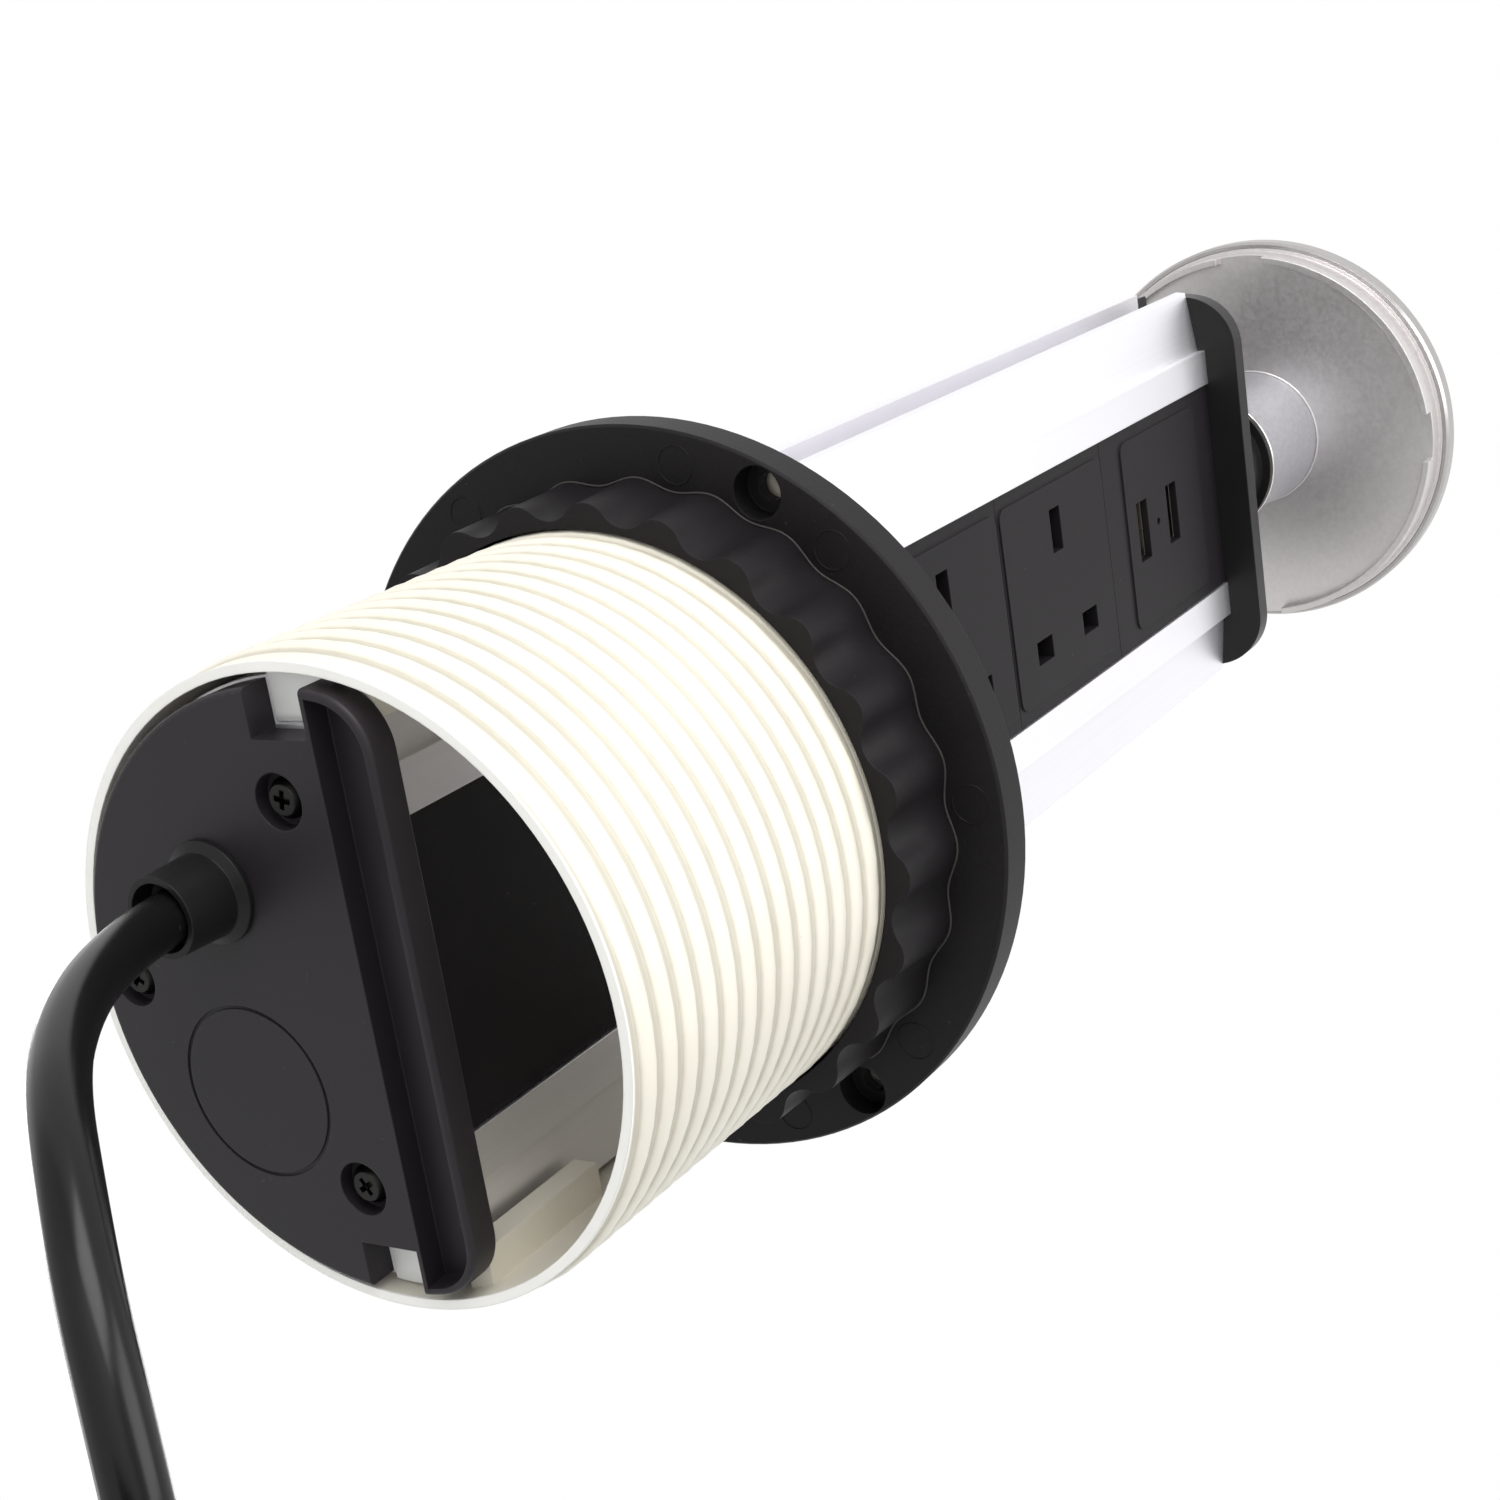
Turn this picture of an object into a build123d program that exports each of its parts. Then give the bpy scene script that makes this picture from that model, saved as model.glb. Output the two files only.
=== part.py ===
from build123d import *
import math
import os

# A pop up desk socket: a power tower that slides up through a round sleeve in a worktop.
# The sleeve hangs in the worktop hole by its flange and a clamp nut and ring hold it from below.
# The upright axis is the sleeve's axis. Height zero is the worktop's upper face, under the gasket.
# The sockets face -Y, and the tower stands raised.

# Clearances shared by mating pieces
SLIDE_GAP = 0.3
SEAT_GAP = 0.2
FIT_GAP = 0.1
OVERRUN = 2.0

# Sleeve, its flange and what closes it against the worktop
TOWER_GAP = 1.1
SLEEVE_WALL = 1.5
THREAD_HEIGHT = 0.8
SLEEVE_DEPTH = 87.5
GASKET_THICK = 0.8
FLANGE_THICK = 2.0
FLANGE_REACH = 12.0
GASKET_INSET = 0.8
GASKET_SETBACK = 4.5
TRIM_COVER = 0.9
TRIM_HEIGHT = 2.4
TRIM_LIP = 0.9
RAIL_LENGTH = 27.0
RAIL_THICK = 4.2
RAIL_FRONT = 13.6
RAIL_REACH = 7.5
FELT_THICK = 0.8
FELT_WIDTH = 12.0
FELT_TOP = 10.0
FELT_STEP_DEG = 42.0

# Clamp ring and clamp nut
RING_REACH = 13.0
RING_THICK = 6.8
RING_SCREW_INSET = 4.8
RING_TOP_GAP = 0.6
RING_SCREW_FIRST_DEG = 88.5
RING_SCREWS = 3
RING_HOLE_R = 2.3
RING_SINK_R = 4.2
RING_SINK_DEPTH = 4.4
NUT_HEIGHT = 14.4
NUT_LOBES = 24
NUT_BASE_WALL = 3.9
NUT_BASE_WAVE = 0.7
NUT_END_WALL = 2.7
NUT_END_WAVE = 1.5

# Tower body: an aluminium extrusion with a flat front between two ribs
TOWER_WALL = 1.8
CAP_PROUD = 1.8
RIB_WIDE = 7.6
RIB_FRONT = 10.8
SIDE_FRONT = 9.0
SIDE_BACK = 7.4
CHANNEL_SETBACK = 6.8
CHANNEL_DEEP = 7.2
CHANNEL_FRONT = 5.3
CHANNEL_BACK = 4.3
GLIDE_LONG = 14.0
GLIDE_EDGE = 1.5
RIB_WALL = 3.8
RIB_BACK = 3.5
GROOVE_DEPTH = 1.8
GROOVE_FRONT = 8.6
GROOVE_BACK = 6.6
BOSS_R = 3.6
BOSS_HOLE_R = 1.6
SIDE_BOSS_INSET = 2.5
SIDE_BOSS_Y = 2.0
BACK_BOSS_INSET = 6.9

# End cap with its front fin, and its screws
CAP_INSET = 0.4
CAP_THICK = 5.0
CAP_FRONT = 16.0
CAP_CORNER = 9.0
CHORD = 6.2
FIN_RIM = 1.2
FIN_POCKET = 4.1
NOTCH_MARGIN = 0.6
NOTCH_FRONT = 5.5
NOTCH_BACK = 4.5
CAP_EDGE = 0.8
SCREW_SHANK_R = 1.5
SCREW_HEAD_R = 3.0
SCREW_HEAD = 2.0
SCREW_SINK_R = 4.1
SCREW_SINK = 2.6
SCREW_LENGTH = 12.0
SCREW_TURNS = (12, 57, 31)
CROSS_LONG = 2.8
CROSS_WIDE = 0.8
CROSS_DEEP = 1.2
KNOCKOUT_X = 15.5
KNOCKOUT_R = 13.3
KNOCKOUT_WIDE = 0.6
KNOCKOUT_DEEP = 0.4
GLAND_X = -15.0
GLAND_Y = 18.3

# Top plate, neck, stem and lid
TOP_INSET = 1.0
TOP_FRONT = 18.0
TOP_CORNER = 12.0
TOP_THICK = 5.5
TOP_EDGE = 1.0
NECK_R = 14.3
NECK_LIP_R = 16.3
NECK_HEIGHT = 16.2
NECK_LIP = 2.2
STEM_FOOT_R = 15.0
STEM_HEAD_R = 16.4
STEM_WALL = 1.6
LID_GAP_HEIGHT = 57.0
LID_OVERLAP = 1.5
LID_WALL = 1.3
LID_HEIGHT = 8.0
LID_SKIN = 1.2
LID_EDGE = 1.0
BASE_THICK = 1.5
CLIP_RING_GAP = 0.8
CLIP_RING_WALL = 1.5
CLIP_RING_DROP = 3.0
BASE_SINK = 4.6
CLIP_GAP_WIDE = 11.6
CLIP_GAP_TURN = 2.0
BOLT_R = 3.0
BOLT_HEAD_R = 5.0
BOLT_HEAD = 3.5

# Socket modules and the plates of the black face
FRAME_FRONT = 10.2
FRAME_THICK = 4.2
FRAME_OVERHANG = 1.4
TONGUE_REACH = 1.8
TONGUE_FRONT = 8.4
TONGUE_BACK = 6.8
MODULE_PITCH = 50.0
MODULES = 3
MODULE_GAP = 0.2
PLATE_INSET = 2.7
PLATE_PROUD = 0.4
PLATE_MARGIN = 0.8
PLATE_CORNER = 2.5
HOUSING_INSET = 0.5
HOUSING_BACK = 7.5
HOUSING_WALL = 1.6
PIN_SPACING = 22.2
EARTH_SLOT_LONG = 9.0
EARTH_SLOT_WIDE = 4.8
LINE_SLOT_LONG = 7.2
LINE_SLOT_WIDE = 4.8
FIRST_MODULE = 1.1

# Shutters behind the live and neutral slots
SHUTTER_TRAVEL = 5.2
SHUTTER_THICK = 2.0
SHUTTER_WINDOW_LONG = 7.6
SHUTTER_WINDOW_WIDE = 5.2
SHUTTER_EDGE = 0.9
SHUTTER_COVER = 5.7
SHUTTER_BORDER = 2.1
SHUTTER_ARM_WIDE = 5.2
SHUTTER_ARM_TIP = 12.3
LUG_X = 9.0
LUG_THICK = 1.4
LUG_REACH = 11.0
POST_X = 0.4
POST_THICK = 1.5
SPRING_Z = 9.2
SPRING_R = 0.95
SPRING_WIRE = 0.5
SPRING_TURNS = 4

# Contacts, bars and the tray behind them
BAR_FRONT = 8.0
BAR_THICK = 1.0
BAR_WIDE = 3.2
CLIP_FRONT = 1.0
CLIP_LEAF = 0.8
CLIP_SPACE = 4.2
EARTH_PIN_SPACE = 8.4
TRAY_ROOM = 1.5
TRAY_BACK = 14.0
TRAY_WALL = 1.2
TRAY_RIB = 2.0
TRAY_RIB_MARGIN = 3.3

# USB module
USB_PLATE_LOW = 9.9
USB_PLATE_TOP_GAP = 1.6
USB_PORTS_DROP = 0.375
USB_PORT_STEP = 16.5
USB_OPENING_LONG = 13.1
USB_OPENING_WIDE = 5.7
USB_SHELL_WALL = 0.35
USB_SHELL_SET = 1.5
USB_SHELL_DEEP = 12.8
USB_TONGUE_LONG = 11.0
USB_TONGUE_THICK = 1.8
USB_TONGUE_SET = 1.2
USB_LAMP_R = 0.8
USB_HOUSING_LONG = 53.0
USB_BOLT_ROOM = 8.4
BOARD_THICK = 1.6
BOARD_HALF = 19.0
BOARD_MARGIN = 3.5

# Lead, gland, coil and plug
CORD_R = 3.8
GLAND_COLLAR_R = 7.7
GLAND_COLLAR = 1.7
GLAND_TUBE_R = 6.3
GLAND_MOUTH_R = 6.0
GLAND_REACH = 10.2
GLAND_MOUTH_BORE_R = 5.1
GLAND_MOUTH_DEEP = 5.0
GLAND_GRIP = 3.0
GLAND_INSIDE = 7.5
GLAND_NUT_R = 7.5
GLAND_NUT_THICK = 2.5
COIL_R = 39.0
COIL_TURNS = 5
COIL_PITCH = 8.2
TIE_WALL = 1.2
TIE_HEIGHT = 14.0
TIE_GAP = 0.7
PLUG_WIDE = 49.0
PLUG_TALL = 50.0
PLUG_BASE = 6.0
PLUG_COVER = 13.0
PLUG_CORNER = 7.0
PLUG_EDGE = 2.0
PLUG_GRIP_LONG = 20.0
PLUG_GRIP_FOOT = 4.0
PLUG_SET_FORWARD = 1.0
PLUG_HANG = 94.0
PLUG_GRIP_R = 6.0
PLUG_GRIP_END_R = 4.8
PLUG_PIN_TOP = 16.0
EARTH_PIN_LONG = 22.7
LINE_PIN_LONG = 17.7
EARTH_PIN_WIDE = 8.0
PIN_THICK = 4.0
LINE_PIN_WIDE = 6.35
PIN_TIP = 1.0
FUSE_LONG = 27.0
FUSE_WIDE = 8.4
FUSE_DEEP = 4.5
FUSE_DROP = 25.0

# Widths worked out from the pin spacing outwards
TRAY_HALF = PIN_SPACING / 2 + EARTH_PIN_SPACE / 2 + CLIP_LEAF + BAR_WIDE + TRAY_ROOM + TRAY_WALL
TRAY_RIB_OFFSET = PIN_SPACING / 2 + LINE_SLOT_LONG / 2 + TRAY_RIB_MARGIN
SHUTTER_HALF = PIN_SPACING / 2 + SHUTTER_WINDOW_LONG / 2 + SHUTTER_BORDER
HOUSING_HALF = TRAY_HALF - HOUSING_INSET
FRAME_HALF = TRAY_HALF + FRAME_OVERHANG
TONGUE_HALF = FRAME_HALF + TONGUE_REACH
PLATE_HALF = FRAME_HALF - PLATE_INSET
FACE_HALF = FRAME_HALF + SEAT_GAP
RIB_OUTER = FACE_HALF + RIB_WIDE
CHANNEL_INNER = RIB_OUTER + CHANNEL_SETBACK
TOWER_R = CHANNEL_INNER + CHANNEL_DEEP
SIDE_CORNER = math.sqrt(TOWER_R ** 2 - SIDE_BACK ** 2)
SIDE_BOSS_X = RIB_OUTER - SIDE_BOSS_INSET
BACK_BOSS_Y = TOWER_R - BACK_BOSS_INSET
CAP_R = TOWER_R - CAP_INSET
NOTCH_INNER = CHANNEL_INNER - NOTCH_MARGIN
SLEEVE_BORE_R = TOWER_R + TOWER_GAP
SLEEVE_R = SLEEVE_BORE_R + SLEEVE_WALL
NUT_BORE_R = SLEEVE_R + THREAD_HEIGHT + SLIDE_GAP
FLANGE_R = SLEEVE_BORE_R + FLANGE_REACH
TRIM_R = FLANGE_R + TRIM_COVER
RING_R = NUT_BORE_R + RING_REACH
RING_SCREW_PCR = RING_R - RING_SCREW_INSET
NUT_BASE_R = NUT_BORE_R + NUT_BASE_WALL
NUT_END_R = NUT_BORE_R + NUT_END_WALL
CLIP_RING_R = SLEEVE_BORE_R - CLIP_RING_GAP
LID_R = SLEEVE_BORE_R + LID_OVERLAP
BASE_R = LID_R - LID_WALL - FIT_GAP

# Heights worked out from the sizes above
FLANGE_LOW = GASKET_THICK
FLANGE_TOP = FLANGE_LOW + FLANGE_THICK
MOUTH = -SLEEVE_DEPTH
RING_TOP = -RING_TOP_GAP
RING_LOW = RING_TOP - RING_THICK
NUT_LOW = RING_LOW - NUT_HEIGHT
CAP_LOW = MOUTH - CAP_PROUD
TOWER_LOW = CAP_LOW + CAP_THICK
USB_LOW = FIRST_MODULE + MODULES * MODULE_PITCH
USB_PLATE_LONG = USB_HOUSING_LONG - USB_PLATE_LOW - USB_PLATE_TOP_GAP
USB_PORT_LOW = (USB_HOUSING_LONG - USB_PORT_STEP) / 2 - USB_PORTS_DROP
BOARD_LONG = USB_HOUSING_LONG - 2 * BOARD_MARGIN
TOWER_TOP = USB_LOW + USB_HOUSING_LONG + USB_BOLT_ROOM
TOWER_LENGTH = TOWER_TOP - TOWER_LOW
TOP_TOP = TOWER_TOP + TOP_THICK
NECK_TOP = TOP_TOP + NECK_HEIGHT
LID_RIM = TOWER_TOP + LID_GAP_HEIGHT
BASE_LOW = LID_RIM - BASE_SINK
GLAND_MOUTH = CAP_LOW - GLAND_REACH
PLATE_FRONT = FRAME_FRONT + PLATE_PROUD
FRAME_BACK = FRAME_FRONT - FRAME_THICK
MODULE_CENTRES = [FIRST_MODULE + MODULE_PITCH * (n + 0.5) for n in range(MODULES)]
MODULE_NAMES = ["a", "b", "c"]
BOSSES = [(-SIDE_BOSS_X, SIDE_BOSS_Y), (SIDE_BOSS_X, SIDE_BOSS_Y), (0, BACK_BOSS_Y)]

os.makedirs("parts", exist_ok=True)


def save(piece, name):
    """Label one finished piece and write it as its own file."""
    piece.label = name
    export_step(piece, "parts/" + name + ".step")


def lathe(outline, mode=Mode.ADD, centre=(0, 0)):
    """Turn a closed outline of (radius, height) points round an upright axis."""
    plane = Plane(origin=(*centre, 0), x_dir=(1, 0, 0), z_dir=(0, -1, 0))
    with BuildSketch(plane) as half:
        with BuildLine():
            Polyline(*outline, close=True)
        make_face()
    revolve(half.sketch, axis=Axis((*centre, 0), (0, 0, 1)), mode=mode)


def block(x, y, z, mode=Mode.ADD):
    """Add or cut a rectangular block between pairs of limits."""
    with Locations(((x[0] + x[1]) / 2, (y[0] + y[1]) / 2, (z[0] + z[1]) / 2)):
        Box(x[1] - x[0], y[1] - y[0], z[1] - z[0], mode=mode)


def front_outline(radius, front, corner):
    """A disc of this radius cut flat at the front, with the two corners rounded."""
    with BuildSketch() as outline:
        Circle(radius)
        with Locations((0, -front - radius / 2)):
            Rectangle(2 * radius, radius, mode=Mode.SUBTRACT)
        fillet(outline.vertices(), radius=corner)
    return outline.sketch


# Sleeve: a thin tube with a flange that rests on the worktop and two guide rails in its mouth
with BuildPart() as sleeve:
    lathe([(SLEEVE_BORE_R, MOUTH), (SLEEVE_R, MOUTH), (SLEEVE_R, FLANGE_LOW), (FLANGE_R, FLANGE_LOW),
           (FLANGE_R, FLANGE_TOP), (SLEEVE_BORE_R, FLANGE_TOP)])
    with BuildSketch(Plane.XY.offset(TOWER_LOW + SLIDE_GAP)) as rails:
        rail_x = SLEEVE_BORE_R - RAIL_REACH
        rail_wide = SLEEVE_R - rail_x
        for side in (-1, 1):
            with Locations((side * (rail_x + rail_wide / 2), RAIL_THICK / 2 - RAIL_FRONT)):
                Rectangle(rail_wide, RAIL_THICK)
        Circle(SLEEVE_BORE_R + SLEEVE_WALL / 2, mode=Mode.INTERSECT)
    extrude(amount=RAIL_LENGTH)
save(sleeve.part, "sleeve")

# Soft gasket under the flange
with BuildPart() as gasket:
    lathe([(SLEEVE_R + GASKET_INSET, 0), (FLANGE_R - GASKET_SETBACK, 0),
           (FLANGE_R - GASKET_SETBACK, GASKET_THICK), (SLEEVE_R + GASKET_INSET, GASKET_THICK)])
save(gasket.part, "worktop_gasket")

# Trim ring that covers the flange and frames the lid
TRIM_INNER = LID_R + SLIDE_GAP + SEAT_GAP
TRIM_TOP = FLANGE_TOP + TRIM_HEIGHT
with BuildPart() as trim_ring:
    lathe([(TRIM_INNER, FLANGE_TOP), (FLANGE_R + FIT_GAP, FLANGE_TOP), (FLANGE_R + FIT_GAP, SEAT_GAP),
           (TRIM_R, SEAT_GAP), (TRIM_R, FLANGE_TOP), (TRIM_R - TRIM_LIP, FLANGE_TOP + TRIM_LIP / 2),
           (TRIM_INNER + 2 * TRIM_LIP, TRIM_TOP), (TRIM_INNER + TRIM_LIP, TRIM_TOP),
           (TRIM_INNER, TRIM_TOP - TRIM_LIP)])
save(trim_ring.part, "trim_ring")

# Felt strips that hold the tower by friction where it stands
with BuildPart() as felt_strips:
    with BuildSketch(Plane.XY.offset(TOWER_LOW)) as felts:
        Circle(SLEEVE_BORE_R)
        Circle(SLEEVE_BORE_R - FELT_THICK, mode=Mode.SUBTRACT)
        with BuildSketch(mode=Mode.INTERSECT):
            for step in (-1, 0, 1):
                turn = math.radians(90 + step * FELT_STEP_DEG)
                place = (SLEEVE_BORE_R * math.cos(turn), SLEEVE_BORE_R * math.sin(turn))
                with Locations(Location((*place, 0), (0, 0, math.degrees(turn)))):
                    Rectangle(SLEEVE_WALL * 4, FELT_WIDTH)
    extrude(amount=-FELT_TOP - TOWER_LOW)
save(felt_strips.part, "felt_strips")

# Clamp ring: the flat black flange with three counterbored screw holes
ring_angles = [math.radians(RING_SCREW_FIRST_DEG + 360 / RING_SCREWS * n) for n in range(RING_SCREWS)]
ring_holes = [(RING_SCREW_PCR * math.cos(a), RING_SCREW_PCR * math.sin(a)) for a in ring_angles]
with BuildPart() as clamp_ring:
    with BuildSketch(Plane.XY.offset(RING_LOW)):
        Circle(RING_R)
        Circle(NUT_BORE_R, mode=Mode.SUBTRACT)
    extrude(amount=RING_THICK)
    chamfer(clamp_ring.edges().filter_by(GeomType.CIRCLE).sort_by(SortBy.RADIUS)[-2:], length=SEAT_GAP * 2)
    with BuildSketch(Plane.XY.offset(RING_LOW)):
        with Locations(*ring_holes):
            Circle(RING_SINK_R)
    extrude(amount=RING_SINK_DEPTH, mode=Mode.SUBTRACT)
    with BuildSketch(Plane.XY.offset(RING_LOW)):
        with Locations(*ring_holes):
            Circle(RING_HOLE_R)
    extrude(amount=RING_THICK, mode=Mode.SUBTRACT)
save(clamp_ring.part, "clamp_ring")


def lobed(radius, wave, lobes, first_deg):
    """A closed outline that swells and dips, made of one arc for each swell and each dip."""
    step = math.radians(360 / lobes)
    start = math.radians(first_deg)

    def at(turn, r):
        return (r * math.cos(turn), r * math.sin(turn))

    with BuildSketch() as outline:
        with BuildLine():
            for n in range(lobes):
                crest = start + n * step
                dip = crest + step / 2
                ThreePointArc(at(crest - step / 4, radius), at(crest, radius + wave),
                              at(crest + step / 4, radius))
                ThreePointArc(at(crest + step / 4, radius), at(dip, radius - wave),
                              at(dip + step / 4, radius))
        make_face()
    return outline.sketch


# Clamp nut: a lobed grip with the sleeve's thread inside, turned by hand from below
NUT_FIRST_DEG = RING_SCREW_FIRST_DEG + 180 / NUT_LOBES
with BuildPart() as clamp_nut:
    lower = Plane.XY.offset(NUT_LOW) * lobed(NUT_END_R, NUT_END_WAVE, NUT_LOBES, NUT_FIRST_DEG)
    upper = Plane.XY.offset(RING_LOW) * lobed(NUT_BASE_R, NUT_BASE_WAVE, NUT_LOBES, NUT_FIRST_DEG)
    loft([lower.face(), upper.face()], ruled=True)
    with BuildSketch(Plane.XY.offset(NUT_LOW)):
        Circle(NUT_BORE_R)
    extrude(amount=NUT_HEIGHT, mode=Mode.SUBTRACT)
save(clamp_nut.part, "clamp_nut")

# Tower body: one extrusion with screw ports, side channels and a groove for the black face
with BuildPart() as tower_body:
    with BuildSketch(Plane.XY.offset(TOWER_LOW)) as section:
        Circle(TOWER_R)
        with BuildSketch(mode=Mode.INTERSECT):
            with BuildLine():
                Polyline((0, -RIB_FRONT), (RIB_OUTER, -RIB_FRONT), (RIB_OUTER, -SIDE_FRONT),
                         (SIDE_CORNER, -SIDE_BACK), (TOWER_R, -CHANNEL_FRONT), (TOWER_R, TOWER_R),
                         (-TOWER_R, TOWER_R), (-TOWER_R, -CHANNEL_FRONT), (-SIDE_CORNER, -SIDE_BACK),
                         (-RIB_OUTER, -SIDE_FRONT), (-RIB_OUTER, -RIB_FRONT), close=True)
            make_face()
        with BuildSketch(mode=Mode.SUBTRACT):
            Circle(TOWER_R - TOWER_WALL)
            with Locations((0, -TOWER_R / 2 - SIDE_BACK + TOWER_WALL)):
                Rectangle(2 * TOWER_R, TOWER_R, mode=Mode.SUBTRACT)
            for side in (-1, 1):
                wall_x = CHANNEL_INNER - TOWER_WALL
                with Locations((side * (wall_x + TOWER_R / 2), (CHANNEL_BACK - CHANNEL_FRONT) / 2)):
                    Rectangle(TOWER_R, CHANNEL_BACK + CHANNEL_FRONT + 2 * TOWER_WALL, mode=Mode.SUBTRACT)
        for side in (-1, 1):
            with Locations((side * (CHANNEL_INNER + TOWER_R / 2), (CHANNEL_BACK - CHANNEL_FRONT) / 2)):
                Rectangle(TOWER_R, CHANNEL_BACK + CHANNEL_FRONT, mode=Mode.SUBTRACT)
            with Locations((side * (FACE_HALF + RIB_WALL / 2), -(SIDE_BACK + RIB_BACK) / 2)):
                Rectangle(RIB_WALL, SIDE_BACK - RIB_BACK)
            with Locations((side * (SIDE_BOSS_X + CHANNEL_INNER) / 2, SIDE_BOSS_Y)):
                Rectangle(CHANNEL_INNER - SIDE_BOSS_X - TOWER_WALL / 2, TOWER_WALL)
        with Locations((0, (BACK_BOSS_Y + TOWER_R) / 2)):
            Rectangle(BOSS_R, TOWER_R - BACK_BOSS_Y - TOWER_WALL / 2)
        with Locations(*BOSSES):
            Circle(BOSS_R)
        with Locations((0, -(RIB_FRONT + RIB_BACK) / 2)):
            Rectangle(2 * FACE_HALF, RIB_FRONT - RIB_BACK + FIT_GAP, mode=Mode.SUBTRACT)
        with Locations((0, -(GROOVE_FRONT + GROOVE_BACK) / 2)):
            Rectangle(2 * (FACE_HALF + GROOVE_DEPTH), GROOVE_FRONT - GROOVE_BACK, mode=Mode.SUBTRACT)
        with Locations(*BOSSES):
            Circle(BOSS_HOLE_R, mode=Mode.SUBTRACT)
    extrude(amount=TOWER_LENGTH)
save(tower_body.part, "tower_body")

# Two white glides sit in the side channels just above the end cap and keep the tower central
with BuildPart() as side_glides:
    for side in (-1, 1):
        block(sorted((side * CHANNEL_INNER, side * SLEEVE_R)),
              (-CHANNEL_FRONT + FIT_GAP, CHANNEL_BACK - FIT_GAP), (TOWER_LOW, TOWER_LOW + GLIDE_LONG))
    with BuildSketch(Plane.XY.offset(TOWER_LOW)):
        Circle(SLEEVE_BORE_R - SLIDE_GAP)
    extrude(amount=GLIDE_LONG, mode=Mode.INTERSECT)
    fillet(side_glides.edges().filter_by(Axis.Y), radius=GLIDE_EDGE)
save(side_glides.part, "side_glides")

# End cap: a moulded plate whose hollow fin rides in front of the tower and stops it at the top
with BuildPart() as end_cap:
    extrude(Plane.XY.offset(CAP_LOW) * front_outline(CAP_R, CAP_FRONT, CAP_CORNER), amount=CAP_THICK)
    fillet(end_cap.edges().group_by(Axis.Z)[0], radius=CAP_EDGE)
    inner = front_outline(CAP_R - FIN_RIM, CAP_FRONT - FIN_RIM, CAP_CORNER - FIN_RIM)
    with BuildSketch(Plane.XY.offset(CAP_LOW)) as pocket:
        add(inner)
        with Locations((0, CAP_R - CHORD)):
            Rectangle(2 * CAP_R, 2 * CAP_R, mode=Mode.SUBTRACT)
    extrude(amount=FIN_POCKET, mode=Mode.SUBTRACT)
    for side in (-1, 1):
        block(sorted((side * NOTCH_INNER, side * CAP_R)), (-NOTCH_FRONT, NOTCH_BACK),
              (CAP_LOW - OVERRUN, TOWER_LOW + OVERRUN), mode=Mode.SUBTRACT)
    with BuildSketch(Plane.XY.offset(CAP_LOW)):
        with Locations(*BOSSES):
            Circle(SCREW_SINK_R)
        with Locations((KNOCKOUT_X, GLAND_Y)):
            Circle(KNOCKOUT_R)
            Circle(KNOCKOUT_R - KNOCKOUT_WIDE, mode=Mode.SUBTRACT)
    extrude(amount=KNOCKOUT_DEEP, mode=Mode.SUBTRACT)
    with BuildSketch(Plane.XY.offset(CAP_LOW)):
        with Locations(*BOSSES):
            Circle(SCREW_SINK_R)
    extrude(amount=SCREW_SINK, mode=Mode.SUBTRACT)
    with BuildSketch(Plane.XY.offset(CAP_LOW)):
        with Locations(*BOSSES):
            Circle(SCREW_SHANK_R + FIT_GAP)
        with Locations((GLAND_X, GLAND_Y)):
            Circle(GLAND_TUBE_R + FIT_GAP)
    extrude(amount=CAP_THICK, mode=Mode.SUBTRACT)
save(end_cap.part, "end_cap")


def cross_screw(head_face, up):
    """A pan head screw with a cross recess, its shank pointing up or down from the head."""
    seat = head_face + up * SCREW_HEAD
    with BuildPart() as screw:
        lathe([(0, head_face), (SCREW_HEAD_R - CROSS_WIDE, head_face),
               (SCREW_HEAD_R, seat - up * CROSS_WIDE), (SCREW_HEAD_R, seat), (SCREW_SHANK_R, seat),
               (SCREW_SHANK_R, seat + up * SCREW_LENGTH), (0, seat + up * SCREW_LENGTH)])
        depth = sorted((head_face - up * OVERRUN, head_face + up * CROSS_DEEP))
        long_way = (-CROSS_LONG / 2, CROSS_LONG / 2)
        short_way = (-CROSS_WIDE / 2, CROSS_WIDE / 2)
        block(long_way, short_way, depth, mode=Mode.SUBTRACT)
        block(short_way, long_way, depth, mode=Mode.SUBTRACT)
    return screw.part


# Three screws hold the end cap and three hold the top plate
cap_screw = cross_screw(CAP_LOW + SCREW_SINK - SCREW_HEAD, 1)
screw_places = [Pos(x, y, 0) * Rotation(0, 0, turn) for (x, y), turn in zip(BOSSES, SCREW_TURNS)]
save(Compound(children=[place * cap_screw for place in screw_places]), "end_cap_screws")
top_screw = cross_screw(TOP_TOP - SCREW_SINK + SCREW_HEAD, -1)
save(Compound(children=[place * top_screw for place in screw_places]), "top_plate_screws")

# Top plate: it closes the extrusion and reaches forward to guide the tower in the sleeve
with BuildPart() as top_plate:
    plate_outline = front_outline(TOWER_R - TOP_INSET, TOP_FRONT, TOP_CORNER)
    extrude(Plane.XY.offset(TOWER_TOP) * plate_outline, amount=TOP_THICK)
    fillet(top_plate.edges().group_by(Axis.Z)[-1], radius=TOP_EDGE)
    for side in (-1, 1):
        block(sorted((side * NOTCH_INNER, side * SLEEVE_R)), (-NOTCH_FRONT, NOTCH_BACK),
              (TOWER_TOP - OVERRUN, TOP_TOP + OVERRUN), mode=Mode.SUBTRACT)
    with BuildSketch(Plane.XY.offset(TOP_TOP)):
        with Locations(*BOSSES):
            Circle(SCREW_SINK_R)
    extrude(amount=-SCREW_SINK, mode=Mode.SUBTRACT)
    with BuildSketch(Plane.XY.offset(TOP_TOP)):
        with Locations(*BOSSES):
            Circle(SCREW_SHANK_R + FIT_GAP)
        Circle(BOLT_R + FIT_GAP)
    extrude(amount=-TOP_THICK, mode=Mode.SUBTRACT)
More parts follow.
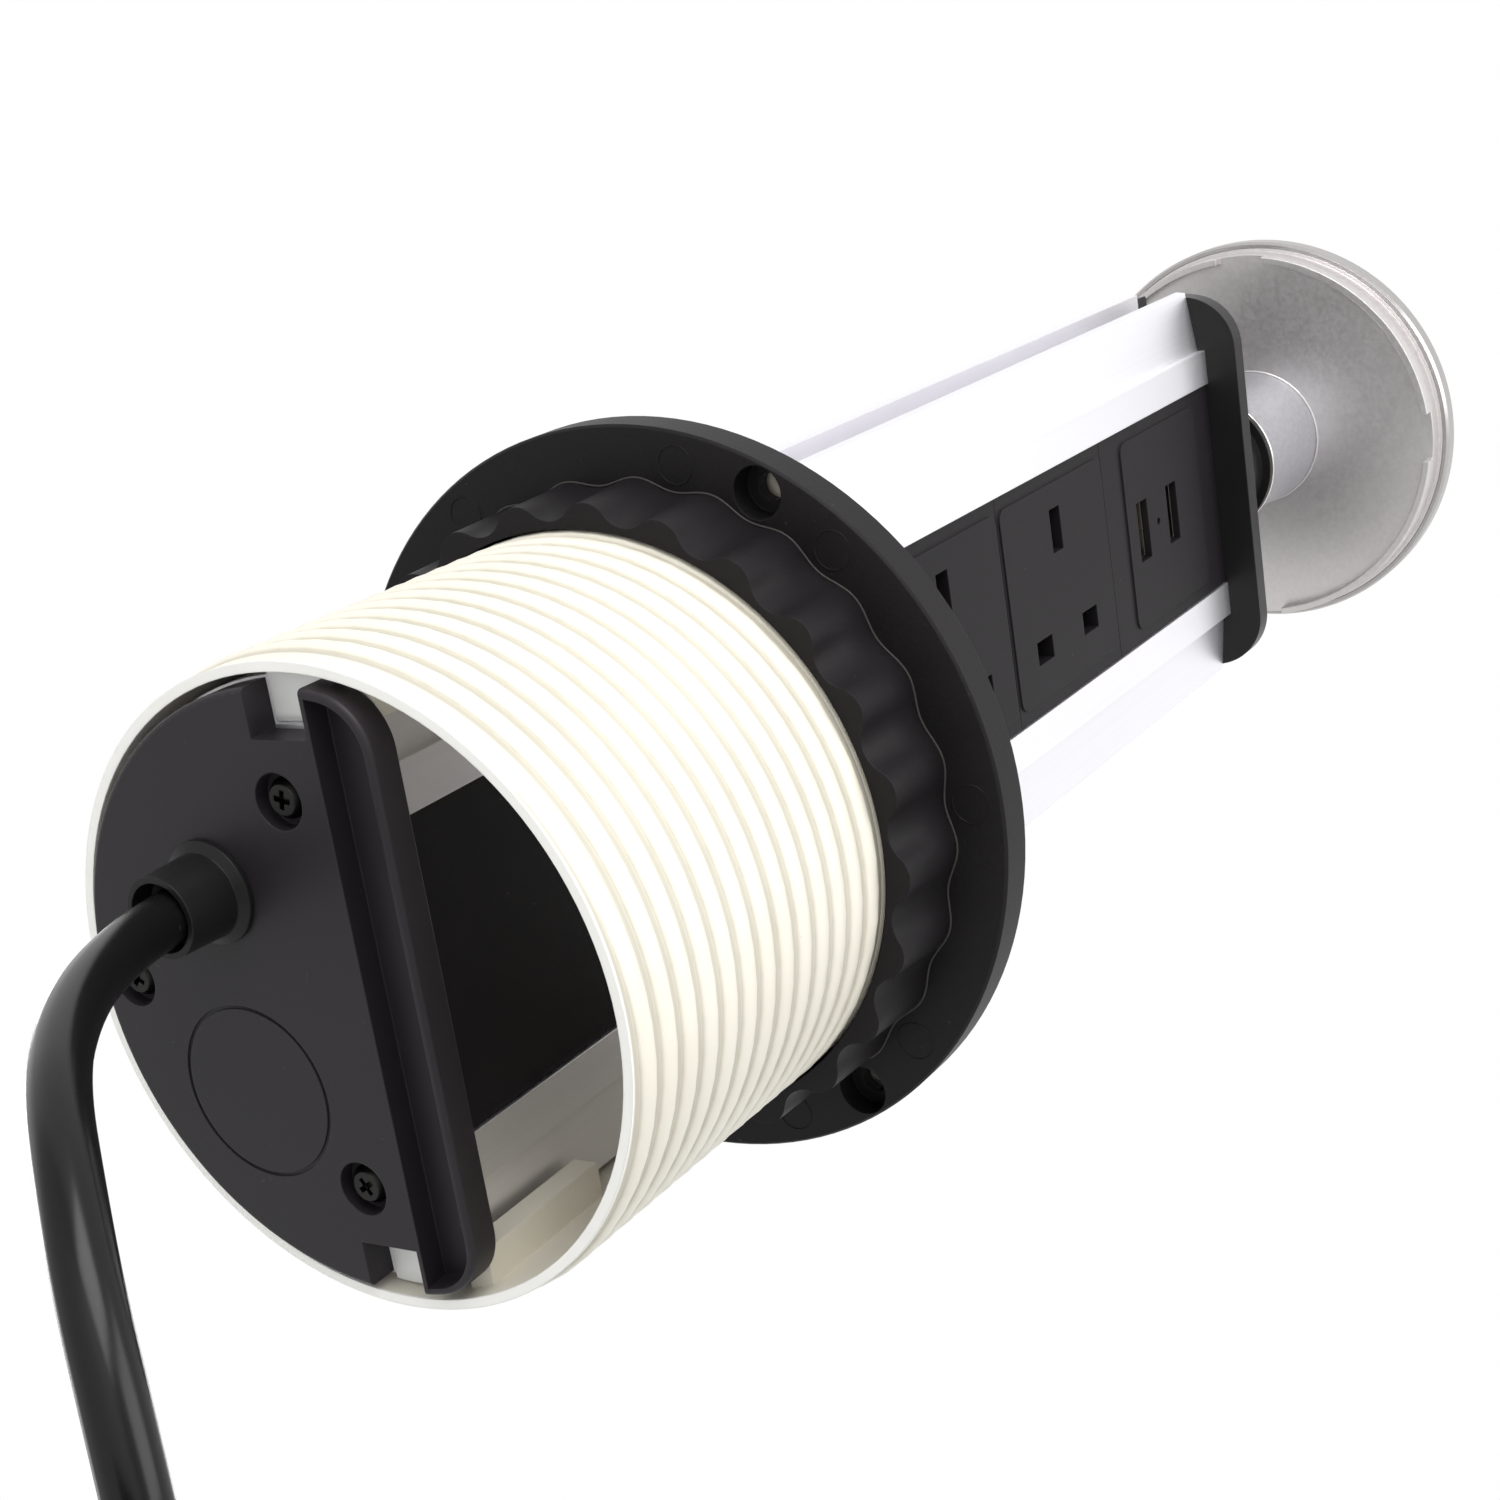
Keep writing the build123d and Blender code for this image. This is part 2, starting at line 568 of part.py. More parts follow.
save(top_plate.part, "top_plate")

# Neck: a black collar with a lip, between the top plate and the stem
BOLT_BORE_R = BOLT_R + FIT_GAP
with BuildPart() as neck:
    lathe([(BOLT_BORE_R, TOP_TOP), (NECK_R, TOP_TOP), (NECK_R, NECK_TOP - NECK_LIP),
           (NECK_LIP_R, NECK_TOP - NECK_LIP + SEAT_GAP), (NECK_LIP_R, NECK_TOP), (BOLT_BORE_R, NECK_TOP)])
save(neck.part, "neck")

# Stem: a satin metal cup that flares from the neck to the lid
with BuildPart() as lid_stem:
    lathe([(BOLT_BORE_R, NECK_TOP), (STEM_FOOT_R, NECK_TOP), (STEM_HEAD_R, BASE_LOW),
           (STEM_HEAD_R - STEM_WALL, BASE_LOW), (STEM_FOOT_R - STEM_WALL, NECK_TOP + STEM_WALL),
           (BOLT_BORE_R, NECK_TOP + STEM_WALL)])
save(lid_stem.part, "lid_stem")

# Lid base: a sunk disc with a broken ring round it that centres the closed lid in the sleeve
RING_INNER = CLIP_RING_R - CLIP_RING_WALL
with BuildPart() as lid_base:
    lathe([(0, BASE_LOW), (RING_INNER, BASE_LOW), (RING_INNER, BASE_LOW - CLIP_RING_DROP),
           (CLIP_RING_R, BASE_LOW - CLIP_RING_DROP), (CLIP_RING_R, LID_RIM), (BASE_R, LID_RIM),
           (BASE_R, LID_RIM + BASE_THICK), (RING_INNER, LID_RIM + BASE_THICK),
           (RING_INNER, BASE_LOW + BASE_THICK), (0, BASE_LOW + BASE_THICK)])
    with BuildSketch(Plane.XY.offset(BASE_LOW)):
        with Locations(*[Rotation(0, 0, CLIP_GAP_TURN + turn) for turn in (0, 90)]):
            Rectangle(2 * CLIP_RING_R + OVERRUN, CLIP_GAP_WIDE)
        Circle(RING_INNER, mode=Mode.SUBTRACT)
    extrude(amount=-CLIP_RING_DROP, mode=Mode.SUBTRACT)
    lathe([(0, BASE_LOW - BOLT_HEAD), (BOLT_HEAD_R, BASE_LOW - BOLT_HEAD), (BOLT_HEAD_R, BASE_LOW),
           (0, BASE_LOW)])
save(lid_base.part, "lid_base")

# Lid cover: a spun shell with a rolled rim and a slightly crowned top
LID_SHOULDER = LID_RIM + LID_HEIGHT - LID_SKIN
COVER_INNER = BASE_R + FIT_GAP
with BuildPart() as lid_cover:
    lathe([(COVER_INNER, LID_RIM), (LID_R - LID_EDGE / 2, LID_RIM), (LID_R, LID_RIM + LID_EDGE),
           (LID_R, LID_SHOULDER - 2 * LID_EDGE), (LID_R - LID_EDGE, LID_SHOULDER - LID_EDGE / 2),
           (LID_R - 3 * LID_EDGE, LID_SHOULDER), (0, LID_RIM + LID_HEIGHT),
           (0, LID_RIM + LID_HEIGHT - LID_SKIN), (LID_R - 3 * LID_EDGE, LID_SHOULDER - LID_SKIN),
           (COVER_INNER, LID_SHOULDER - LID_SKIN - LID_EDGE)])
save(lid_cover.part, "lid_cover")

# One long bolt runs up through the top plate, neck and stem into the lid
BOLT_TOP = BASE_LOW - BOLT_HEAD
with BuildPart() as lid_bolt:
    lathe([(0, TOWER_TOP - BOLT_HEAD), (BOLT_HEAD_R, TOWER_TOP - BOLT_HEAD), (BOLT_HEAD_R, TOWER_TOP),
           (BOLT_R, TOWER_TOP), (BOLT_R, BOLT_TOP), (0, BOLT_TOP)])
save(lid_bolt.part, "lid_bolt")


def face_frame(low, high, plate_low, plate_high):
    """The flat front of one module: tongues for the tower's groove and a raised plate."""
    block((-FRAME_HALF, FRAME_HALF), (-FRAME_FRONT, -FRAME_BACK), (low, high))
    block((-TONGUE_HALF, TONGUE_HALF), (-TONGUE_FRONT, -TONGUE_BACK), (low, high))
    plane = Plane(origin=(0, -FRAME_FRONT, (plate_low + plate_high) / 2), x_dir=(1, 0, 0), z_dir=(0, -1, 0))
    with BuildSketch(plane) as plate:
        RectangleRounded(2 * PLATE_HALF, plate_high - plate_low, PLATE_CORNER)
    extrude(plate.sketch, amount=PLATE_PROUD)


def housing(low, high):
    """The open-backed box behind a module's front."""
    block((-HOUSING_HALF, HOUSING_HALF), (-FRAME_BACK, HOUSING_BACK), (low, high))
    inner = HOUSING_HALF - HOUSING_WALL
    block((-inner, inner), (-FRAME_BACK, HOUSING_BACK + OVERRUN), (low + HOUSING_WALL, high - HOUSING_WALL),
          mode=Mode.SUBTRACT)


def slot(x, z, wide, tall):
    """Cut one opening through a module's front."""
    block((x - wide / 2, x + wide / 2), (-PLATE_FRONT - OVERRUN, -FRAME_BACK + OVERRUN / 4),
          (z - tall / 2, z + tall / 2), mode=Mode.SUBTRACT)


# Three British socket modules with the earth slot to the left of the live and neutral slots
for name, z in zip(MODULE_NAMES, MODULE_CENTRES):
    low = z - MODULE_PITCH / 2 + MODULE_GAP / 2
    high = z + MODULE_PITCH / 2 - MODULE_GAP / 2
    with BuildPart() as module:
        face_frame(low, high, low + PLATE_MARGIN, high - PLATE_MARGIN)
        housing(low, high)
        slot(-PIN_SPACING / 2, z, EARTH_SLOT_LONG, EARTH_SLOT_WIDE)
        for side in (-1, 1):
            slot(PIN_SPACING / 2, z + side * PIN_SPACING / 2, LINE_SLOT_WIDE, LINE_SLOT_LONG)
        block((POST_X, POST_X + POST_THICK), (-FRAME_BACK, -FRAME_BACK + SPRING_R * 2.8),
              (z + SPRING_Z - SPRING_R * 1.5, z + SPRING_Z + SPRING_R * 1.5))
    save(module.part, "socket_" + name)

    # The shutter covers both line slots until the earth pin pushes it aside
    window_x = PIN_SPACING / 2 - SHUTTER_TRAVEL
    back = -FRAME_BACK + SLIDE_GAP
    depth = (back, back + SHUTTER_THICK)
    with BuildPart() as shutter:
        window_half = SHUTTER_WINDOW_WIDE / 2
        block((window_x - window_half - SHUTTER_EDGE, window_x + window_half + SHUTTER_COVER),
              depth, (z - SHUTTER_HALF, z + SHUTTER_HALF))
        block((-SHUTTER_ARM_TIP, window_x), depth, (z - SHUTTER_ARM_WIDE / 2, z + SHUTTER_ARM_WIDE / 2))
        block((-LUG_X - LUG_THICK, -LUG_X), depth, (z, z + LUG_REACH))
        for side in (-1, 1):
            block((window_x - SHUTTER_WINDOW_WIDE / 2, window_x + SHUTTER_WINDOW_WIDE / 2),
                  (back - OVERRUN, back + SHUTTER_THICK + OVERRUN),
                  (z + side * PIN_SPACING / 2 - SHUTTER_WINDOW_LONG / 2,
                   z + side * PIN_SPACING / 2 + SHUTTER_WINDOW_LONG / 2), mode=Mode.SUBTRACT)
    save(shutter.part, "shutter_" + name)

    # A small coil spring between the shutter's lug and the module's post closes it again
    spring_y = -FRAME_BACK + SPRING_R + SPRING_WIRE
    span = POST_X + LUG_X - SPRING_WIRE
    with BuildPart() as spring:
        with BuildLine() as wire:
            Helix(pitch=span / SPRING_TURNS, height=span, radius=SPRING_R,
                  center=(-LUG_X + SPRING_WIRE / 2, spring_y, z + SPRING_Z), direction=(1, 0, 0))
        with BuildSketch(Plane(origin=wire.line @ 0, z_dir=wire.line % 0)):
            Rectangle(SPRING_WIRE, SPRING_WIRE)
        sweep(is_frenet=True)
    save(spring.part, "shutter_spring_" + name)

# USB module: the same front with two ports and a lamp hole in its plate
usb_ports_z = [USB_LOW + USB_PORT_LOW + USB_PORT_STEP * n for n in range(2)]
plate_low = USB_LOW + USB_PLATE_LOW
with BuildPart() as usb_module:
    face_frame(USB_LOW + MODULE_GAP / 2, TOWER_TOP, plate_low, plate_low + USB_PLATE_LONG)
    housing(USB_LOW + MODULE_GAP / 2, USB_LOW + USB_HOUSING_LONG)
    for z in usb_ports_z:
        slot(0, z, USB_OPENING_LONG, USB_OPENING_WIDE)
    with Locations(Location((0, -PLATE_FRONT, sum(usb_ports_z) / 2), (90, 0, 0))):
        Cylinder(USB_LAMP_R, 2 * OVERRUN, mode=Mode.SUBTRACT)
save(usb_module.part, "usb_module")

# The two metal port shells, the tongues inside them and the board that carries both
shell_long = USB_OPENING_LONG - 2 * FIT_GAP
shell_wide = USB_OPENING_WIDE - 2 * FIT_GAP
shell_front = -PLATE_FRONT + USB_SHELL_SET
shell_back = shell_front + USB_SHELL_DEEP
with BuildPart() as usb_shells:
    for z in usb_ports_z:
        block((-shell_long / 2, shell_long / 2), (shell_front, shell_back),
              (z - shell_wide / 2, z + shell_wide / 2))
        inner_long = shell_long / 2 - USB_SHELL_WALL
        inner_wide = shell_wide / 2 - USB_SHELL_WALL
        block((-inner_long, inner_long), (shell_front - OVERRUN, shell_back - USB_SHELL_WALL),
              (z - inner_wide, z + inner_wide), mode=Mode.SUBTRACT)
save(usb_shells.part, "usb_shells")

with BuildPart() as usb_tongues:
    for z in usb_ports_z:
        low = z - shell_wide / 2 + USB_SHELL_WALL
        block((-USB_TONGUE_LONG / 2, USB_TONGUE_LONG / 2),
              (shell_front + USB_TONGUE_SET, shell_back - USB_SHELL_WALL), (low, low + USB_TONGUE_THICK))
save(usb_tongues.part, "usb_tongues")

with BuildPart() as usb_board:
    middle = sum(usb_ports_z) / 2
    block((-BOARD_HALF, BOARD_HALF), (shell_back, shell_back + BOARD_THICK),
          (middle - BOARD_LONG / 2, middle + BOARD_LONG / 2))
save(usb_board.part, "usb_board")

# Blank plate that fills the face below the sockets
with BuildPart() as blank_plate:
    top = FIRST_MODULE - MODULE_GAP / 2
    block((-FRAME_HALF, FRAME_HALF), (-FRAME_FRONT, -FRAME_BACK), (TOWER_LOW, top))
    block((-TONGUE_HALF, TONGUE_HALF), (-TONGUE_FRONT, -TONGUE_BACK), (TOWER_LOW, top))
    inner = FRAME_HALF - HOUSING_WALL
    block((-inner, inner), (-FRAME_FRONT + HOUSING_WALL, -FRAME_BACK + OVERRUN),
          (TOWER_LOW + HOUSING_WALL, top - HOUSING_WALL), mode=Mode.SUBTRACT)
save(blank_plate.part, "blank_plate")

# Brass bars along the tower, each with a spring clip behind every slot that it serves
BAR_LOW = MODULE_CENTRES[0] - PIN_SPACING
BAR_HIGH = MODULE_CENTRES[-1] + PIN_SPACING
SPACE = CLIP_SPACE / 2 + CLIP_LEAF
BAR_BACK = BAR_FRONT + BAR_THICK


def clip(x, z, gap):
    """A channel of two leaves and a web, opening away from the front."""
    block((x[0], x[1]), (-CLIP_FRONT, BAR_BACK), (z[0], z[1]))
    block(gap[0], (-CLIP_FRONT - OVERRUN, BAR_BACK + OVERRUN), gap[1], mode=Mode.SUBTRACT)


with BuildPart() as earth_bar:
    left = -PIN_SPACING / 2 - EARTH_PIN_SPACE / 2
    for z in MODULE_CENTRES:
        clip((left - CLIP_LEAF, left + EARTH_PIN_SPACE), (z - SPACE, z + SPACE),
             ((left, left + EARTH_PIN_SPACE + OVERRUN), (z - CLIP_SPACE / 2, z + CLIP_SPACE / 2)))
    block((left - CLIP_LEAF - BAR_WIDE, left - CLIP_LEAF), (BAR_FRONT, BAR_BACK), (BAR_LOW, BAR_HIGH))
save(earth_bar.part, "earth_bar")

for name, side in (("live_bar", -1), ("neutral_bar", 1)):
    x = PIN_SPACING / 2
    reach = LINE_SLOT_LONG / 2
    with BuildPart() as bar:
        for z in MODULE_CENTRES:
            mid = z + side * PIN_SPACING / 2
            clip((x - SPACE, x + SPACE), (mid - reach - CLIP_LEAF, mid + reach),
                 ((x - CLIP_SPACE / 2, x + CLIP_SPACE / 2), (mid - reach, mid + reach + OVERRUN)))
        block(sorted((x + side * SPACE, x + side * (SPACE + BAR_WIDE))), (BAR_FRONT, BAR_BACK),
              (BAR_LOW, BAR_HIGH))
    save(bar.part, name)

# Tray behind the bars, with ribs that press them against the modules
TRAY_LOW = FIRST_MODULE
TRAY_HIGH = USB_LOW
with BuildPart() as bar_tray:
    block((-TRAY_HALF, TRAY_HALF), (HOUSING_BACK, TRAY_BACK), (TRAY_LOW, TRAY_HIGH))
    inner = TRAY_HALF - TRAY_WALL
    block((-inner, inner), (HOUSING_BACK - OVERRUN, TRAY_BACK - TRAY_WALL),
          (TRAY_LOW - OVERRUN, TRAY_HIGH + OVERRUN), mode=Mode.SUBTRACT)
    for z in MODULE_CENTRES:
        for side in (-1, 1):
            rib = z + side * TRAY_RIB_OFFSET
            block((-inner, inner), (BAR_BACK, TRAY_BACK - TRAY_WALL / 2),
                  (rib - TRAY_RIB / 2, rib + TRAY_RIB / 2))
save(bar_tray.part, "bar_tray")

# Cord gland: a stepped bush in the end cap, held by a nut inside
GLAND_CENTRE = (GLAND_X, GLAND_Y)
CORD_START = GLAND_MOUTH + GLAND_MOUTH_DEEP + GLAND_GRIP
with BuildPart() as cord_gland:
    lathe([(0, CORD_START), (CORD_R, CORD_START), (CORD_R, GLAND_MOUTH + GLAND_MOUTH_DEEP),
           (GLAND_MOUTH_BORE_R, GLAND_MOUTH + GLAND_MOUTH_DEEP - FIN_RIM), (GLAND_MOUTH_BORE_R, GLAND_MOUTH),
           (GLAND_MOUTH_R, GLAND_MOUTH), (GLAND_TUBE_R, CAP_LOW - GLAND_COLLAR),
           (GLAND_COLLAR_R, CAP_LOW - GLAND_COLLAR / 2), (GLAND_COLLAR_R, CAP_LOW), (GLAND_TUBE_R, CAP_LOW),
           (GLAND_TUBE_R, TOWER_LOW + GLAND_INSIDE), (0, TOWER_LOW + GLAND_INSIDE)], centre=GLAND_CENTRE)
save(cord_gland.part, "cord_gland")

with BuildPart() as gland_nut:
    with BuildSketch(Plane.XY.offset(TOWER_LOW)):
        with Locations(GLAND_CENTRE):
            RegularPolygon(GLAND_NUT_R, 6, major_radius=False)
            Circle(GLAND_TUBE_R, mode=Mode.SUBTRACT)
    extrude(amount=GLAND_NUT_THICK)
save(gland_nut.part, "gland_nut")

# The lead hangs from the gland, swings forward and to the side, and drops to its coil
COIL_CENTRE = (37.5, -244.0)
COIL_FIRST_Y = -46.0
BEND_SHARE = 0.45
COIL_FALL = COIL_PITCH / (2 * math.pi * COIL_R)
COIL_LEAD_IN = 17.0
COIL_LEAD_OUT = 13.0
COIL_X = COIL_CENTRE[0] + COIL_R
LEAD_POINTS = [
    (GLAND_X, GLAND_Y, CORD_START), (-15.0, 18.3, -104.0), (-16.2, 15.2, -115.5), (-16.4, 9.5, -126.5),
    (-15.4, 1.4, -136.6), (-13.2, -8.0, -146.0), (-8.2, -18.3, -154.1), (-0.3, -26.9, -161.4),
    (10.3, -33.7, -166.8), (22.3, -37.8, -170.1), (35.2, -39.0, -171.1), (49.3, -40.0, -176.3),
    (61.3, -41.2, -185.3), (70.1, -42.5, -197.4), (75.0, -44.0, -211.6),
    (COIL_X, COIL_FIRST_Y + COIL_FALL * COIL_LEAD_IN, COIL_CENTRE[1] + COIL_LEAD_IN),
    (COIL_X, COIL_FIRST_Y, COIL_CENTRE[1]),
]


def tube(points, name):
    """Sweep the cord's round section along straight runs joined by the widest arcs they allow."""
    runs = [Vector(*b) - Vector(*a) for a, b in zip(points, points[1:])]
    turns = [a.get_angle(b) for a, b in zip(runs, runs[1:])]
    shorter = [min(a.length, b.length) for a, b in zip(runs, runs[1:])]
    radii = [BEND_SHARE * run / math.tan(math.radians(turn / 2)) for run, turn in zip(shorter, turns)]
    with BuildPart() as cord:
        with BuildLine() as path:
            FilletPolyline(*points, radius=radii)
        with BuildSketch(Plane(origin=path.line @ 0, z_dir=path.line % 0)):
            Circle(CORD_R)
        sweep()
    length = sum(edge.length for edge in path.edges())
    expected = math.pi * CORD_R ** 2 * length
    print(name, "length", round(length, 1), "radii", [round(r) for r in radii],
          "volume share", round(cord.part.volume / expected, 4))
    save(cord.part, name)
    return length


lead_length = tube(LEAD_POINTS, "cord_lead")


def coil_point(share):
    """Point and direction on the coil after this share of its turns."""
    turn = -2 * math.pi * COIL_TURNS * share
    place = Vector(COIL_CENTRE[0] + COIL_R * math.cos(turn), COIL_FIRST_Y - COIL_PITCH * COIL_TURNS * share,
                   COIL_CENTRE[1] + COIL_R * math.sin(turn))
    return place, Vector(math.sin(turn), -COIL_FALL, -math.cos(turn)).normalized()


def biarc(start, start_way, end, end_way):
    """Two arcs that leave and arrive along the given directions and share one at their joint."""
    across = end - start
    both = start_way + end_way
    apart = 2 * (1 - start_way.dot(end_way))
    along = across.dot(both)
    reach = (math.sqrt(along ** 2 + apart * across.dot(across)) - along) / apart
    joint = (start + start_way * reach + end - end_way * reach) / 2
    first = TangentArc(start, joint, tangent=start_way)
    TangentArc(joint, end, tangent=first % 1)


# The put-away length: one unbroken coil of turns side by side
QUARTERS = 4 * COIL_TURNS
with BuildPart() as cord_coil:
    with BuildLine() as coil_path:
        for n in range(QUARTERS):
            biarc(*coil_point(n / QUARTERS), *coil_point((n + 1) / QUARTERS))
    with BuildSketch(Plane(origin=coil_path.line @ 0, z_dir=coil_path.line % 0)):
        Circle(CORD_R)
    sweep()
save(cord_coil.part, "cord_coil")
COIL_SAMPLES = 60
samples = [coil_point(n / (COIL_SAMPLES * COIL_TURNS))[0] for n in range(COIL_SAMPLES * COIL_TURNS + 1)]
least = min((a - b).length for i, a in enumerate(samples) for b in samples[i + COIL_SAMPLES // 2:])
print("cord_coil least gap to itself", round(least - 2 * CORD_R, 2))
coil_length = sum(edge.length for edge in coil_path.edges())
print("cord_coil length", round(coil_length, 1), "volume share",
      round(cord_coil.part.volume / (math.pi * CORD_R ** 2 * coil_length), 4))

# The tail drops from the coil to the plug
COIL_END = coil_point(1)[0]
PLUG_X = 68.0
PLUG_Y = COIL_END.Y - PLUG_SET_FORWARD
PLUG_TOP = COIL_CENTRE[1] - PLUG_HANG
GRIP_MOUTH = PLUG_TOP + PLUG_GRIP_LONG
TAIL_POINTS = [
    (COIL_X, COIL_END.Y, COIL_CENTRE[1]),
    (COIL_X, COIL_END.Y - COIL_FALL * COIL_LEAD_OUT, COIL_CENTRE[1] - COIL_LEAD_OUT),
    (75.3, PLUG_Y + 0.2, -270.0), (72.6, PLUG_Y, -282.5), (69.6, PLUG_Y, -294.5),
    (PLUG_X, PLUG_Y, GRIP_MOUTH + COIL_LEAD_OUT), (PLUG_X, PLUG_Y, GRIP_MOUTH),
]
tail_length = tube(TAIL_POINTS, "cord_tail")
print("cord length in all", round(lead_length + coil_length + tail_length, 1))

# Strap that ties the coil
tie_x = COIL_CENTRE[0] - COIL_R
with BuildPart() as coil_tie:
    inner_x = CORD_R + TIE_GAP
    inner_y = (COIL_FIRST_Y - COIL_PITCH * COIL_TURNS - TIE_GAP, COIL_FIRST_Y + TIE_GAP)
    for wall, mode in ((TIE_WALL, Mode.ADD), (0, Mode.SUBTRACT)):
        tall = TIE_HEIGHT / 2 + (0 if wall else OVERRUN)
        block((tie_x - inner_x - wall, tie_x + inner_x + wall), (inner_y[0] - wall, inner_y[1] + wall),
              (COIL_CENTRE[1] - tall, COIL_CENTRE[1] + tall), mode=mode)
save(coil_tie.part, "coil_tie")

# Plug: a British three pin plug that hangs from the tail, pins to the back
PLUG_FRONT = PLUG_Y - PLUG_COVER / 2
PLUG_SPLIT = PLUG_FRONT + PLUG_COVER
PLUG_FACE = PLUG_SPLIT + PLUG_BASE
plug_mid = PLUG_TOP - PLUG_TALL / 2
plug_plane = Plane(origin=(PLUG_X, PLUG_FRONT, plug_mid), x_dir=(1, 0, 0), z_dir=(0, 1, 0))
with BuildPart() as plug_cover:
    with BuildSketch(plug_plane):
        RectangleRounded(PLUG_WIDE, PLUG_TALL, PLUG_CORNER)
    extrude(amount=PLUG_COVER)
    fillet(plug_cover.edges().group_by(Axis.Y)[0], radius=PLUG_EDGE)
    with Locations(Location((PLUG_X, PLUG_Y, PLUG_TOP), (0, 0, 0))):
        Cylinder(PLUG_GRIP_R + FIT_GAP, 2 * (PLUG_GRIP_FOOT + FIT_GAP), mode=Mode.SUBTRACT)
save(plug_cover.part, "plug_cover")

L_Z = PLUG_TOP - PLUG_PIN_TOP
E_Z = L_Z - PIN_SPACING
fuse_z = PLUG_TOP - FUSE_DROP
with BuildPart() as plug_base:
    with BuildSketch(plug_plane.offset(PLUG_COVER)):
        RectangleRounded(PLUG_WIDE, PLUG_TALL, PLUG_CORNER)
    extrude(amount=PLUG_BASE)
    fillet(plug_base.edges().group_by(Axis.Y)[-1], radius=PLUG_EDGE / 2)
    block((PLUG_X - FUSE_LONG / 2 - SLIDE_GAP, PLUG_X + FUSE_LONG / 2 + SLIDE_GAP),
          (PLUG_FACE - FUSE_DEEP - SLIDE_GAP, PLUG_FACE + OVERRUN),
          (fuse_z - FUSE_WIDE / 2 - SLIDE_GAP, fuse_z + FUSE_WIDE / 2 + SLIDE_GAP), mode=Mode.SUBTRACT)
    with Locations(Location((PLUG_X, PLUG_Y, PLUG_TOP), (0, 0, 0))):
        Cylinder(PLUG_GRIP_R + FIT_GAP, 2 * (PLUG_GRIP_FOOT + FIT_GAP), mode=Mode.SUBTRACT)
save(plug_base.part, "plug_base")

with BuildPart() as fuse_carrier:
    block((PLUG_X - FUSE_LONG / 2, PLUG_X + FUSE_LONG / 2), (PLUG_FACE - FUSE_DEEP, PLUG_FACE),
          (fuse_z - FUSE_WIDE / 2, fuse_z + FUSE_WIDE / 2))
    chamfer(fuse_carrier.edges().group_by(Axis.Y)[-1], length=SEAT_GAP * 2)
save(fuse_carrier.part, "fuse_carrier")


def plug_pin(x, z, wide, tall, long):
    """One rectangular pin with a tapered tip."""
    block((x - wide / 2, x + wide / 2), (PLUG_FACE, PLUG_FACE + long), (z - tall / 2, z + tall / 2))


with BuildPart() as plug_pins:
    plug_pin(PLUG_X, E_Z, PIN_THICK, EARTH_PIN_WIDE, EARTH_PIN_LONG)
    for side in (-1, 1):
        plug_pin(PLUG_X + side * PIN_SPACING / 2, L_Z, LINE_PIN_WIDE, PIN_THICK, LINE_PIN_LONG)
    tips = plug_pins.faces().filter_by(Axis.Y).group_by(Axis.Y)
    chamfer(tips[-1].edges() + tips[-2].edges(), length=PIN_TIP)
save(plug_pins.part, "plug_pins")

# Tapered sleeve that saves the cord from bending where it enters the plug
with BuildPart() as plug_grip:
    foot = PLUG_TOP - PLUG_GRIP_FOOT
    lathe([(0, foot), (PLUG_GRIP_R, foot), (PLUG_GRIP_R, PLUG_TOP), (PLUG_GRIP_END_R, GRIP_MOUTH),
           (0, GRIP_MOUTH)], centre=(PLUG_X, PLUG_Y))
save(plug_grip.part, "plug_grip")
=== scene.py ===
# %% [markdown]
# # Dressing a pop up desk socket
# A power tower slides up through a round sleeve in a worktop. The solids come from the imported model, so
# this lesson adds what solids do badly: a lead that hangs like rubber, a rolled screw thread, marks that
# the mould left, and a believable finish on every surface. All lengths are metres in the model's frame.

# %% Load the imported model
import bmesh
import bpy
import math
from mathutils import Matrix, Vector


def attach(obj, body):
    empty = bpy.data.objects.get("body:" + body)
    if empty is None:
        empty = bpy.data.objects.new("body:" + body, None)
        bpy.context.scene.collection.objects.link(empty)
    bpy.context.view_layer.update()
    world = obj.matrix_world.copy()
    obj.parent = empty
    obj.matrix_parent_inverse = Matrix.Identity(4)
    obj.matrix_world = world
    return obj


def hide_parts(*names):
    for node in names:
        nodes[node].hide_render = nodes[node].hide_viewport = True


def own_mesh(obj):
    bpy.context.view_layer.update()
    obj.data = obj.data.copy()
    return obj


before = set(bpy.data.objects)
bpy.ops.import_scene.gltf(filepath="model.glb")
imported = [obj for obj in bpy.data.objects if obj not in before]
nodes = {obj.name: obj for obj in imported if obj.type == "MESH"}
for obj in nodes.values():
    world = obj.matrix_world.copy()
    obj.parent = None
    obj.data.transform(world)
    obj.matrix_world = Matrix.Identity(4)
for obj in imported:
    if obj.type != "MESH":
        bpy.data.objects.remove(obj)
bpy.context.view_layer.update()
MM = 0.001

# %% [markdown]
# ## Camera
# The photograph was taken from below and in front of the raised tower, close to the end cap. The outlet
# slots have standard sizes, so they gave the camera's place, its turn and its focal length in pixels. The
# rotation is written as the image's right, up and backward directions, as a camera object is turned.

# %% Place the camera
IMAGE_RIGHT = Vector((0.1516, -0.8420, 0.5177)).normalized()
IMAGE_DOWN = Vector((0.9475, -0.0255, -0.3188)).normalized()
CAMERA_SPOT = Vector((-116.8, -224.8, -311.2)) * MM
SENSOR_WIDTH = 36.0
FOCAL_PIXELS, IMAGE_PIXELS = 2429.12, 1500.0
camera_data = bpy.data.cameras.new("photo_camera")
camera_data.sensor_width = SENSOR_WIDTH
camera_data.lens = SENSOR_WIDTH * FOCAL_PIXELS / IMAGE_PIXELS
camera_data.clip_start = 0.01
camera_data.clip_end = 20.0
camera = bpy.data.objects.new("photo_camera", camera_data)
bpy.context.scene.collection.objects.link(camera)
backward = IMAGE_RIGHT.cross(-IMAGE_DOWN).normalized()
upward = backward.cross(IMAGE_RIGHT).normalized()
